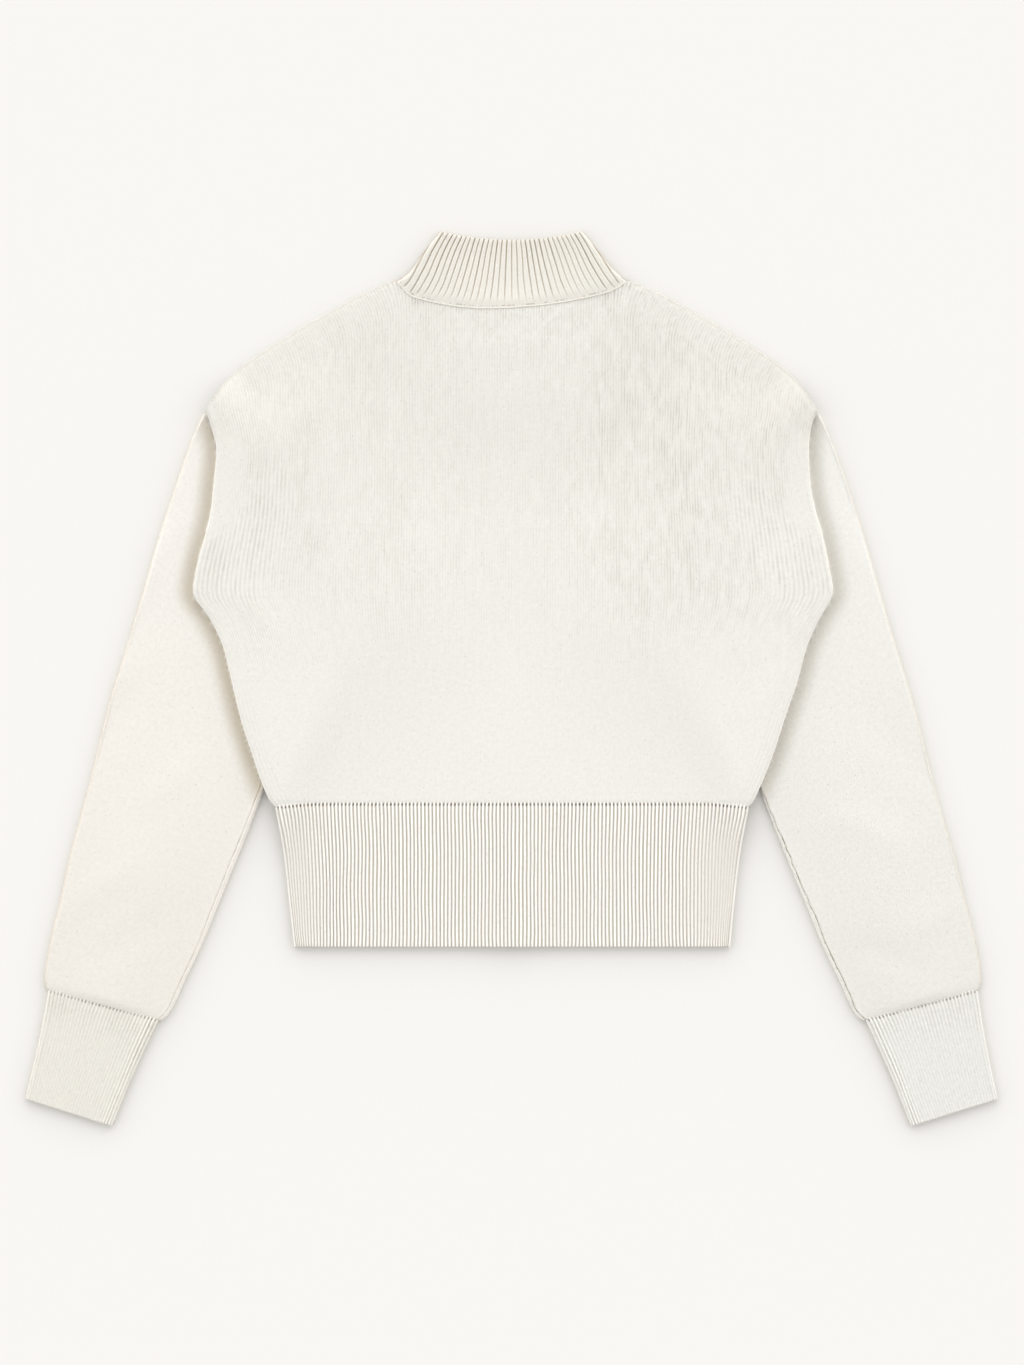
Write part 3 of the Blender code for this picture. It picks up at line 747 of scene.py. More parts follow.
class StitchRow(Row):
    """Small arched threads along lines."""

    def __init__(self) -> None:
        """Builds the tree."""
        sizes = ("Spacing", "Length", "Thickness", "Rise", "Turn", "Unevenness")
        super().__init__("stitch_row", sizes, {"Evenly": "Bool", "Seed": "Int"})
        evenly, spacing = self.given["Evenly"], self.given["Spacing"]
        sockets = {"Switch": evenly, "False": self.line, "True": self.spaced(spacing)}
        chosen = self.node("GeometryNodeSwitch", sockets, input_type="GEOMETRY").outputs["Output"]
        sockets = {"Min": -1.0, "Max": 1.0, "Seed": self.given["Seed"]}
        chance = self.node("FunctionNodeRandomValue", sockets, data_type="FLOAT")
        number = next(out for out in chance.outputs if out.enabled)
        swing = computed(self.tree, "MULTIPLY", number, self.given["Unevenness"])
        angle = computed(self.tree, "ADD", swing, self.given["Turn"])
        grow = computed(self.tree, "MULTIPLY_ADD", swing, 0.8, 1.0)
        turned = self._turned(self.vector(Z=angle))
        self.set_out({"Points": chosen, "Instance": self._thread(), "Rotation": turned, "Scale": grow})

    def _turned(self, spin: Any) -> Any:
        """How a thread is turned: along the line, up from the surface, and spun on it."""
        named = {"Name": "up"}
        up = self.node("GeometryNodeInputNamedAttribute", named, data_type="FLOAT_VECTOR").outputs[0]
        along = self.node("GeometryNodeInputTangent").outputs["Tangent"]
        align = "FunctionNodeAlignRotationToVector"
        facing = self.node(align, {"Vector": up}, axis="Z", pivot_axis="AUTO").outputs[0]
        sockets = {"Rotation": facing, "Vector": along}
        facing = self.node(align, sockets, axis="X", pivot_axis="Z").outputs[0]
        sockets = {"Rotation": facing, "Rotate By": spin}
        return self.node("FunctionNodeRotateRotation", sockets, rotation_space="LOCAL").outputs[0]

    def _thread(self) -> Any:
        """One arched thread along X, with both ends tucked in."""
        thickness = self.given["Thickness"]
        half, deep = self.share(self.given["Length"], 0.5), self.share(thickness, -0.6)
        sockets = {
            "Resolution": 5,
            "Start": self.vector(X=self.share(half, -1.0), Z=deep),
            "Middle": self.vector(Z=self.share(self.given["Rise"], 2.0)),
            "End": self.vector(X=half, Z=deep),
        }
        arc = self.node("GeometryNodeCurveQuadraticBezier", sockets).outputs["Curve"]
        sockets = {"Resolution": 6, "Radius": self.share(thickness, 0.5)}
        ring = self.node("GeometryNodeCurvePrimitiveCircle", sockets, mode="RADIUS").outputs["Curve"]
        sockets = {"Curve": arc, "Profile Curve": ring, "Fill Caps": True}
        tube = self.node("GeometryNodeCurveToMesh", sockets).outputs["Mesh"]
        return self.node("GeometryNodeSetShadeSmooth", {0: tube}).outputs[0]

    def sew(
        self,
        name: str,
        lines: Sequence[tuple[Array, Array]],
        finish: ThreadFinish,
        slot: str,
        sizes: dict[str, float],
        evenly: bool = True,
        seed: int = 1,
    ) -> bpy.types.Object:
        """Sews one row of threads and puts it in the scene as a plain mesh.

        Args:
            name: The piece's name.
            lines: Each line's points and, for each point, the way that its surface faces.
            finish: The thread.
            slot: The slot for its finish, handed on to place.
            sizes: The tree's sizes, by name.
            evenly: Whether the threads are set at an even spacing, and not at the points.
            seed: Which pattern of unevenness.

        Returns:
            The piece.
        """
        values = {"Evenly": evenly, "Seed": seed, "Material": finish.material(), **sizes}
        points, ups = [line for line, _ in lines], [up for _, up in lines]
        return place(name, self.grown(f"{name}_guide", points, ups, **values), finish, slot)


def level(points: Array, way: float = 1.0) -> tuple[Array, Array]:
    """A line of points on cloth that faces up, or down where the way is -1."""
    return points, np.tile((0.0, 0.0, way), (len(points), 1))


class ToothRow(Row):
    """Moulded zip teeth along a line, each a stem with a wider head."""

    def __init__(self) -> None:
        """Builds the tree."""
        sizes = ("Pitch", "Reach", "Height", "Shift")
        super().__init__("tooth_row", sizes, {})
        pitch, reach, height, shift = (self.given[size] for size in sizes)
        stem = self._block(reach, self.share(pitch, 0.34), height)
        head = self._block(self.share(reach, 0.4), self.share(pitch, 0.46), self.share(height, 0.8))
        both = self.node("GeometryNodeJoinGeometry")
        for part in (stem, self._moved(head, self.share(shift, -0.55))):
            self.tree.links.new(part, both.inputs[0])
        tooth = self._moved(both.outputs[0], shift)
        self.set_out({"Points": self.spaced(pitch), "Instance": tooth})

    def _block(self, wide: Any, long: Any, high: Any) -> Any:
        """A block of some size."""
        size = self.vector(X=wide, Y=long, Z=high)
        return self.node("GeometryNodeMeshCube", {"Size": size}).outputs["Mesh"]

    def _moved(self, form: Any, across: Any) -> Any:
        """A form, moved across the zip."""
        sockets = {"Geometry": form, "Translation": self.vector(X=across)}
        return self.node("GeometryNodeTransform", sockets).outputs["Geometry"]


# ---------------------------------------------------------------- how the garment lies


class EdgeRow(NamedTuple):
    """Where the two side edges lie at one height."""

    y: float
    left: float
    right: float


class EdgePoint(NamedTuple):
    """A point of an edge that is the same on both sides."""

    x: float
    y: float


class Section(NamedTuple):
    """A line across a sleeve, from its outer edge to its inner edge, and the rise between."""

    outer_x: float
    outer_y: float
    inner_x: float
    inner_y: float
    crown: float


@dataclass(frozen=True)
class Lay:
    """How the layers lie on the floor and on each other.

    Attributes:
        wall: Thickness of the knit.
        seam: Space between two pieces that are joined.
        gap: Space between two layers that lie on each other.
        sleeve_lift: How far the body is raised where it lies on a sleeve.
        sleeve_margin: How far beside a sleeve it stays raised.
        sleeve_fall: Width over which it comes down from there.
        zip_room: Space that the zip needs between the front and the back.
        zip_room_width: Width over which that space closes.
        slider_lift: How far the body is raised over the zip's slider.
        slider_room: Space that the slider needs on top of the zip's.
        dip: How far the seam over the waistband dips at its corners.
        dip_from: Distance from the middle at which it starts to dip.
        dip_to: Distance at which it has dipped.
        sleeves: The sleeves' sections, from the cuff to the tucked end, for the right side.
    """

    wall: float = 1.8 * MM
    seam: float = 0.3 * MM
    gap: float = 0.5 * MM
    sleeve_lift: float = 5.1 * MM
    sleeve_margin: float = 12 * MM
    sleeve_fall: float = 34 * MM
    zip_room: float = 1.4 * MM
    zip_room_width: float = 26 * MM
    slider_lift: float = 1.8 * MM
    slider_room: float = 1.0 * MM
    dip: float = 2.8 * MM
    dip_from: float = 0.146
    dip_to: float = 0.196
    sleeves: tuple[Section, ...] = (
        Section(0.3724, -0.2482, 0.2804, -0.2732, 0.0010),
        Section(0.3740, -0.2410, 0.2755, -0.2686, 0.0018),
        Section(0.3694, -0.2100, 0.2618, -0.2405, 0.0016),
        Section(0.3614, -0.1770, 0.2492, -0.2140, 0.0016),
        Section(0.3544, -0.1444, 0.2356, -0.1810, 0.0016),
        Section(0.3372, -0.0804, 0.2115, -0.1220, 0.0014),
        Section(0.3212, -0.0164, 0.1917, -0.0700, 0.0010),
        Section(0.3016, 0.0476, 0.1771, -0.0330, 0.0006),
        Section(0.2832, 0.1116, 0.1600, 0.0080, 0.0005),
        Section(0.2675, 0.1596, 0.1474, 0.0380, 0.0005),
        Section(0.2525, 0.2000, 0.1405, 0.0545, 0.0005),
        Section(0.2460, 0.2130, 0.1380, 0.0604, 0.0005),
    )

    def hem_dip(self, x: Any) -> Any:
        """How far the seam over the waistband dips towards its corners."""
        return self.dip * ease(self.dip_from, self.dip_to, abs(x)) ** 1.5

    @property
    def fold(self) -> float:
        """Outside radius where a wall folds back on itself."""
        return self.wall + self.gap / 2

    @property
    def sleeve_outline(self) -> Array:
        """The right sleeve's closed outline."""
        outer = [(s.outer_x, s.outer_y) for s in self.sleeves]
        return np.array(outer + [(s.inner_x, s.inner_y) for s in reversed(self.sleeves)])

    def floor(self, x: Array, y: Array) -> Array:
        """Height of the body's underside."""
        beside = distance_outside(abs(x), y, self.sleeve_outline)
        over_sleeve = 1 - ease(self.sleeve_margin, self.sleeve_margin + self.sleeve_fall, beside)
        along_zip = ease(0.165, 0.245, y) * (1 - ease(0.292, 0.350, y))
        over_slider = (1 - ease(0.016, 0.080, abs(x))) * along_zip
        return self.sleeve_lift * over_sleeve + self.slider_lift * over_slider

    def space(self, x: Array, y: Array) -> Array:
        """Space between the front and the back layer."""
        over_slider = ease(0.245, 0.272, y) * (1 - ease(0.292, 0.320, y))
        return self.gap + hump(x, self.zip_room_width) * (self.zip_room + self.slider_room * over_slider)

    def back(self, x: Array, y: Array) -> Array:
        """Height of the back layer's underside."""
        return self.floor(x, y) + self.wall + self.space(x, y)


def rounded_edge(distance: Array, radius: float, depth: float) -> Array:
    """How far a face curves down near an edge that lies at no distance."""
    share = np.clip(distance / radius, 0, 1)
    return depth * (1 - np.sqrt(np.clip(1 - (1 - share) ** 2, 0, 1)))


def rib_wave(phase: Array) -> Array:
    """The height of a round rib, 0 in the hollows at whole numbers and 1 on the crests between."""
    return 0.5 - 0.5 * np.cos(2 * math.pi * phase)


def rim(facing: Array) -> Array:
    """1 where cloth faces sideways and 0 where it faces up or down."""
    return hump(facing[..., 2] - 0.1, 0.4)


def spread(*runs: tuple[float, float, int]) -> Array:
    """Places in rising order, each run from a start to an end in a number of steps."""
    parts = [np.linspace(start, end, steps, endpoint=False) for start, end, steps in runs]
    return np.append(np.concatenate(parts), runs[-1][1])


# ---------------------------------------------------------------- body


@dataclass
class Body:
    """The back and the two fronts, in fine rib with drop shoulders.

    Attributes:
        lay: How the layers lie.
        hem_y: Height of the hem's seam at the middle.
        tip_x: Distance of the shoulder tips from the middle.
        neck_half: Half the width of the neck.
        front_neck_y: Height of the front neck at the zip.
        front_edge: Distance of the fronts' edges from the middle.
        wales: Ribs across the widest part.
        rib_height: Height of a rib over its hollows.
        bulge_pitch: Distance between the coarser ribs near the shoulder tips.
        flank_pitch: Distance between the ribs that run along the lower sides.
        edge_radius: How far from an edge the cloth starts to turn down.
        corner: How far the lower corners are rounded.
        neck_slip: How far the neck's seam lies lower on the left.
        lean: How far the ribs lean towards the neck at the shoulder.
        lean_zone: Distance below the shoulder in which they do.
        hem_roll: How far the hem sinks into its seam.
        back_cut: Flat size of the back.
        front_cut: Flat size of a front.
        edge: The side edges, from the hem to the shoulder tip.
        shoulder: The shoulder line, from the neck to the tip.
        neckline: The collar's base at the back.
        creases: Soft folds pressed into the back.
    """

    lay: Lay
    hem_y: float = -0.0988
    tip_x: float = 0.2447
    neck_half: float = 0.0928
    front_neck_y: float = 0.2390
    front_edge: float = 0.0039
    wales: int = 222
    rib_height: float = 0.34 * MM
    bulge_pitch: float = 3.4 * MM
    flank_pitch: float = 3.0 * MM
    edge_radius: float = 4.6 * MM
    corner: float = 2.2 * MM
    neck_slip: float = 4.2 * MM
    lean: float = 10 * MM
    lean_zone: float = 32 * MM
    hem_roll: float = 0.25 * MM
    back_cut: Cut = Cut(0.515, 0.425, 0.187)
    front_cut: Cut = Cut(0.258, 0.425, 0.088)
    edge: tuple[EdgeRow, ...] = (
        EdgeRow(-0.1004, -0.1916, 0.1922),
        EdgeRow(-0.0880, -0.1976, 0.1980),
        EdgeRow(-0.0570, -0.2084, 0.2103),
        EdgeRow(-0.0300, -0.2170, 0.2190),
        EdgeRow(-0.0035, -0.2234, 0.2282),
        EdgeRow(0.0270, -0.2310, 0.2366),
        EdgeRow(0.0500, -0.2420, 0.2470),
        EdgeRow(0.0700, -0.2549, 0.2574),
        EdgeRow(0.0900, -0.2520, 0.2542),
        EdgeRow(0.1150, -0.2453, 0.2490),
        EdgeRow(0.1330, -0.2408, 0.2438),
        EdgeRow(0.1540, -0.2386, 0.2394),
        EdgeRow(0.1840, -0.2360, 0.2378),
        EdgeRow(0.2000, -0.2395, 0.2394),
        EdgeRow(0.2155, -0.2447, 0.2447),
    )
    shoulder: tuple[EdgePoint, ...] = (
        EdgePoint(0.0910, 0.3207),
        EdgePoint(0.0940, 0.3201),
        EdgePoint(0.1040, 0.3152),
        EdgePoint(0.1200, 0.3084),
        EdgePoint(0.1360, 0.2996),
        EdgePoint(0.1520, 0.2906),
        EdgePoint(0.1680, 0.2816),
        EdgePoint(0.1840, 0.2718),
        EdgePoint(0.2000, 0.2616),
        EdgePoint(0.2160, 0.2504),
        EdgePoint(0.2310, 0.2360),
        EdgePoint(0.2447, 0.2155),
    )
    neckline: tuple[EdgePoint, ...] = (
        EdgePoint(0.0000, 0.2990),
        EdgePoint(0.0200, 0.2996),
        EdgePoint(0.0380, 0.3014),
        EdgePoint(0.0570, 0.3047),
        EdgePoint(0.0700, 0.3076),
        EdgePoint(0.0800, 0.3106),
        EdgePoint(0.0870, 0.3144),
        EdgePoint(0.0928, 0.3190),
    )
    creases: tuple[Crease, ...] = (
        Crease(-0.236, 0.074, -0.180, 0.030, 0.010, 0.0004),
        Crease(0.244, 0.066, 0.190, -0.030, 0.009, 0.0004),
        Crease(0.222, 0.170, 0.196, 0.080, 0.012, -0.0003),
        Crease(-0.224, 0.180, -0.204, 0.110, 0.012, 0.0003),
        Crease(-0.085, 0.230, -0.094, 0.090, 0.016, -0.0004),
        Crease(0.070, 0.250, 0.082, 0.110, 0.016, 0.0004),
    )

    def half(self, side: Array, y: Array) -> Array:
        """Half the body's width on one side at some heights."""
        ys = [row.y for row in self.edge]
        left = Track(ys, [-row.left for row in self.edge])(y)
        right = Track(ys, [row.right for row in self.edge])(y)
        rounding = self.corner * (1 - ease(0, 4 * MM, y - self.corner_y)) ** 2
        return np.where(side > 0, right, left) - rounding

    @property
    def corner_y(self) -> float:
        """Height of the lower corners."""
        return self.hem_y - self.lay.hem_dip(0.190)

    def back_neck(self, x: Array) -> Array:
        """The collar's base at the back."""
        return Track([p.x for p in self.neckline], [p.y for p in self.neckline])(x)

    def front_neck(self, x: Array) -> Array:
        """The collar's base at the front."""
        fold_x = self.neck_half - self.lay.fold
        return lerp(self.front_neck_y, self.back_neck(fold_x), np.clip(x / fold_x, 0, 1) ** 2.2)

    def top(self, x: Array, neck: Callable[[Array], Array]) -> Array:
        """The upper edge of a panel: its neck, then the shoulder."""
        shoulder = Track([p.x for p in self.shoulder], [p.y for p in self.shoulder])(x)
        return np.where(x < self.neck_half, neck(x), shoulder)

    def slip(self, x: Array, y: Array) -> Array:
        """How far the neckline and the cloth round it lie lower on the left than on the right."""
        along = ease(-self.neck_half, -0.081, x) * (1 - ease(-0.062, 0.055, x))
        return -self.neck_slip * along * ease(0.245, 0.295, y) * (1 - ease(0.312, 0.345, y))

    def side_line(self, side: int) -> Array:
        """The line down one shoulder and side, from the neck to the hem."""
        xs = np.linspace(self.neck_half, self.tip_x, 40)
        shoulder = np.stack([side * xs, self.top(xs, self.back_neck)], axis=1)
        ys = np.linspace(self.edge[-1].y, self.corner_y, 60)[1:]
        flank = np.stack([side * self.half(np.full(ys.shape, side), ys), ys], axis=1)
        return np.vstack([shoulder, flank])

    def outline(self) -> Array:
        """The body's closed outline."""
        return np.vstack([self.side_line(1), self.side_line(-1)[::-1]])

    def columns(self, first: float, last: float) -> tuple[Array, Array]:
        """Columns from one place to another across the widest part.

        Args:
            first: The first place.
            last: The last place.

        Returns:
            The places, and the rib count at each.
        """
        pitch = 2 * self.tip_x / self.wales
        steps = round((last - first) / pitch * 4)
        places = np.linspace(first, last, steps + 1)
        return places, places / pitch

    def grid(self, column: Array, neck: Callable[[Array], Array]) -> tuple[Array, Array, Array]:
        """Places of a panel's points.

        Args:
            column: Places across the widest part.
            neck: The panel's neckline.

        Returns:
            X and Y by row and column, and how far each point lies below the upper edge.
        """
        low, high = 5.5 * MM, 30 * MM
        foot = spread((0, 0.6 * MM, 2), (0.6 * MM, 2.2 * MM, 3), (2.2 * MM, low, 2))
        head = high - spread((0, 1.2 * MM, 4), (1.2 * MM, 6 * MM, 6), (6 * MM, high, 8))[::-1]
        middle = np.linspace(0, 1, 44)
        foot_part = np.concatenate([foot[:-1], np.full(len(middle), low), np.full(len(head) - 1, low)])
        middle_part = np.concatenate([np.zeros(len(foot) - 1), middle, np.ones(len(head) - 1)])
        head_part = np.concatenate([np.zeros(len(foot) - 1 + len(middle)), head[1:]])
        share_out = abs(column)
        lean = self.lean * ease(self.neck_half - 0.014, self.neck_half + 0.006, share_out)
        lean = lean * (1 - ease(self.tip_x - 0.045, self.tip_x, share_out))
        length = self.top(share_out + lean, neck) - self.hem_y
        y = foot_part[:, None] + middle_part[:, None] * (length - low - high) + head_part[:, None]
        below = length - y
        hem_half = self.half(np.sign(column), self.hem_y + 0 * column)
        hem_x = share_out + (hem_half - self.tip_x) * (share_out / self.tip_x) ** 1.7
        y = self.hem_y + y - self.lay.hem_dip(hem_x) * (1 - ease(0, 50 * MM, y))
        leaning = share_out + lean * np.clip(1 - below / self.lean_zone, 0, 1) ** 2.3
        power = lerp(1.7, 3.0, ease(-0.06, 0.06, y))
        half = self.half(np.sign(column) + 0 * y, y)
        x = leaning + (half - self.tip_x) * (leaning / self.tip_x) ** power
        return np.sign(column) * x, y, below

    def rib_field(self, x: Array, y: Array, below: Array, column: Array, edge: Array) -> tuple[Array, Array]:
        """The fine ribs: strong near the shoulders and armholes, nearly gone low down and in the middle.

        Args:
            x: Places across.
            y: Places along.
            below: Distance below the upper edge.
            column: Each column's place across the widest part.
            edge: Distance from the side or shoulder edge.

        Returns:
            The rib's height, 0 to 1, and its strength, 0 to about 1.
        """
        sway = 0.10 * Drift(13, 0.03, 0.05)(x, y)
        pitch = 2 * self.tip_x / self.wales
        at_tip = hump(edge - 20 * MM, 24 * MM) * hump(y - 0.088, 0.032)
        bulge = np.clip(at_tip + hump(edge - 48 * MM, 18 * MM) * hump(y - 0.130, 0.040), 0, 1)
        flank = (1 - ease(9 * MM, 16 * MM, edge)) * (1 - ease(-0.030, 0.020, y))
        wide_wave = rib_wave((self.tip_x - abs(column)) / self.bulge_pitch)
        wave = lerp(rib_wave(column / pitch + sway), wide_wave, ease(0.15, 0.5, bulge))
        wave = lerp(wave, rib_wave(edge / self.flank_pitch + 0.35), flank)

        patches = 1 + 0.12 * Drift(11, 0.045, 0.070)(x, y) + 0.18 * Drift(12, 0.012, 0.05)(x, y)
        uneven = lerp(0.62, 0.85, ease(-0.10, 0.12, x)) * Drift(15, 1.1 * pitch, 3.6 * MM)(x, y)
        patches = (patches + 0.22 * ease(-0.10, 0.12, x)) * (1 + uneven)
        upper = lerp(0.12, 1.0, ease(-0.030, 0.110, y))
        middle = 1 - 0.50 * hump(x, 0.06) * (1 - ease(0.22, 0.28, y))
        beside = ease(0.100, 0.130, y) * (1 - ease(0.185, 0.210, y))
        quiet = 1 - 0.7 * (1 - ease(8 * MM, 34 * MM, edge)) * beside
        calm = 1 - 0.5 * hump(below, 0.016) * ease(0.10, 0.13, abs(x))
        neck_corner = hump(abs(x) - 0.083, 0.015) * hump(below - 2 * MM, 5 * MM)
        strength = 0.70 * upper * middle * quiet * calm + 0.27 * bulge * (1 - 0.6 * ease(-0.1, 0.1, x))
        strength = strength * (1 - 0.25 * bulge * ease(-0.1, 0.1, x))
        strength = strength + 0.10 * hump(below, 0.012) * (abs(x) < self.neck_half) + 0.80 * neck_corner
        return wave, np.clip(lerp(strength * patches, 0.35, flank), 0, 1.9)

    def shade(self, x: Array, y: Array, edge: Array, wave: Array, strength: Array) -> Array:
        """How lit the yarn is painted, 0 to 1. The upper back and turned shoulder edges lie darker."""
        # Painted shade in the rib hollows, on the upper back and by the right shoulder tip; painted light by
        # the neck and about 40 mm inside the sides at mid height.
        tone = 0.04 + 0.09 * ease(0.10, 0.20, y) - 0.12 * hump(x, 0.07) * ease(0.22, 0.28, y)
        tone = tone - 0.10 * hump(abs(x) - 0.088, 0.016) * ease(0.285, 0.305, y)
        tone = tone + lerp(0.0, 0.10, ease(-0.1, 0.1, x)) * hump(np.hypot(abs(x) - 0.215, y - 0.220), 0.035)
        tone = tone - 0.07 * hump(edge - 40 * MM, 25 * MM) * hump(y - 0.10, 0.05)
        # Painted shade on the turned shoulder edges.
        turned = 0.95 * hump(edge, 1.9 * MM) * ease(0.19, 0.23, y)
        return 1 - strength * (1 - wave) * 0.50 - tone - turned

    def settled(self, x: Array, y: Array, below: Array) -> Array:
        """How far the back bridges the air beside the sleeves under it, so that no step shows through."""
        beside = distance_outside(abs(x), y, self.lay.sleeve_outline)
        margin, fall = self.lay.sleeve_margin, self.lay.sleeve_fall
        bridged = ease(margin, margin + fall, beside) - ease(margin, margin + 4 * fall, beside)
        free = ease(2 * MM, 75 * MM, below) * ease(2 * MM, 140 * MM, y - self.hem_y)
        return self.lay.sleeve_lift * bridged * free

    def build_back(self) -> None:
        """Builds and dresses the back panel."""
        column, count = self.columns(-self.tip_x, self.tip_x)
        x, y, below = self.grid(column, lambda at: self.back_neck(at) - 0.10 * MM)
        y = y + self.slip(x, y)
        edge = np.minimum(*(distance_to_line(x, y, self.side_line(side.value)) for side in Side))
        wave, strength = self.rib_field(x, y, below, column, edge)
        lay = self.lay
        low = lay.back(x, y) + self.settled(x, y, below)
        low = np.where(edge < 0.02 * MM, lay.floor(x, y) + lay.wall + lay.seam, low)
        round_off = rounded_edge(edge, self.edge_radius, lay.wall - 0.15 * MM)
        hem_roll = self.hem_roll * (1 - ease(0, 1.6 * MM, y - self.hem_y))
        soft = creased(x, y, self.creases) + 0.12 * MM * Drift(14, 0.06, 0.06)(x, y)
        soft = soft * ease(0, 18 * MM, edge)
        ribs = self.rib_height * strength * (wave - 0.5) * ease(0, 1.5 * MM, edge)
        high = np.maximum(low + lay.wall + ribs + soft - round_off - hem_roll, low + 0.12 * MM)
        mesh = Shell(
            outer=np.stack([x, y, high], axis=-1),
            inner=np.stack([x, y, low], axis=-1),
            rows=list(range(len(y))),
            columns=keys(len(column), 8),
            knit=np.stack(np.broadcast_arrays(count * BODY_KNIT.wale, y), axis=-1),
            marks={"rib": self.shade(x, y, edge, wave, strength), "hole": 0 * x},
        ).mesh("back_panel")
        lay_cloth("back_panel", mesh, BODY_KNIT, "knit_body", "back")

    def build_front(self, side: Side) -> None:
        """Builds and dresses one front panel, whose outer face is underneath."""
        name = f"front_panel_{side.word}"
        column, count = self.columns(self.front_edge, self.tip_x)
        x, y, below = self.grid(column, lambda at: self.front_neck(at) - 0.10 * MM)
        if side is Side.LEFT:
            x = x * self.half(side.value + 0 * y, y) / self.half(1 + 0 * y, y)
        x = side.value * np.maximum(x, self.front_edge)
        y = y + self.slip(x, y)
        edge = distance_to_line(x, y, self.side_line(side.value))
        wave, strength = self.rib_field(x, y, below, column, edge)
        low = self.lay.floor(x, y)
        round_off = rounded_edge(edge, self.edge_radius, self.lay.wall - 0.15 * MM)
        ribs = 0.7 * self.rib_height * strength * (1 - wave)
        raise_by = np.minimum(round_off + ribs, self.lay.wall - 0.12 * MM)
        mesh = Shell(
            outer=np.stack([x, y, low + raise_by], axis=-1),
            inner=np.stack([x, y, low + self.lay.wall], axis=-1),
            rows=list(range(len(y))),
            columns=keys(len(column), 8),
            knit=np.stack(np.broadcast_arrays(count * BODY_KNIT.wale, y), axis=-1),
            marks={"rib": self.shade(x, y, edge, wave, strength), "hole": 0 * x},
        ).mesh(name)
        node, under = f"front_{side.word}", (f"sleeve_{side.word}",)
        lay_cloth(name, mesh, BODY_KNIT, "knit_body", node)

    def build_seams(self, stitches: StitchRow) -> None:
        """Sews the shoulder and side seams, which lie in the outline between back and front."""
        for side in Side:
            line = self.side_line(side.value)[1:]
            inward = line * (1 - 0.25 * MM / np.linalg.norm(line, axis=1))[:, None]
            height = self.lay.floor(inward[:, 0], inward[:, 1]) + self.lay.wall + self.lay.seam / 2
            along = np.gradient(line, axis=0)
            outward = np.stack([-side.value * along[:, 1], side.value * along[:, 0], 0 * height], axis=1)
            outward /= np.linalg.norm(outward, axis=1)[:, None]
            points = np.column_stack([inward, height])
            sizes = {"Spacing": 2.2 * MM, "Length": 2.8 * MM, "Thickness": 0.5 * MM}
            sizes |= {"Rise": 0.05 * MM, "Turn": 0.2, "Unevenness": 0.12}
            stitches.sew(f"side_seam_{side.word}", [(points, outward)], SHADED_YARN, "knit_body", sizes)


def keys(count: int, step: int) -> list[int]:
    """Every step-th number below count, with the last one."""
    return sorted({*range(0, count, step), count - 1})


# ---------------------------------------------------------------- ribbed bands


@dataclass
class Strip:
    """A band's points before its ribs are raised, by row and column.

    Attributes:
        points: The points.
        facing: The way that each faces.
        part: Each column's part: 0 and 4 are the front halves, 1 and 3 the folds, 2 the back.
        place: Each column's place in its part.
    """

    points: Array
    facing: Array
    part: Array
    place: Array

    @property
    def on_back(self) -> Array:
        """Which columns lie across the back."""
        return self.part == 2

    @property
    def on_fold(self) -> Array:
        """Which columns lie round a fold."""
        return (self.part == 1) | (self.part == 3)

    @property
    def sunk(self) -> Array:
        """How far each column is turned under: 0 on the back, 1 on the front halves."""
        turned = (FOLD_TURN - self.place) / (2 * FOLD_TURN)
        return np.where(self.on_back, 0.0, np.where(self.on_fold, turned, 1.0))

    def columns(self, step: int) -> list[int]:
        """The columns of the inner face: every step-th, and all of those in the folds."""
        return sorted({*np.flatnonzero(self.on_fold).tolist(), *keys(len(self.place), step)})


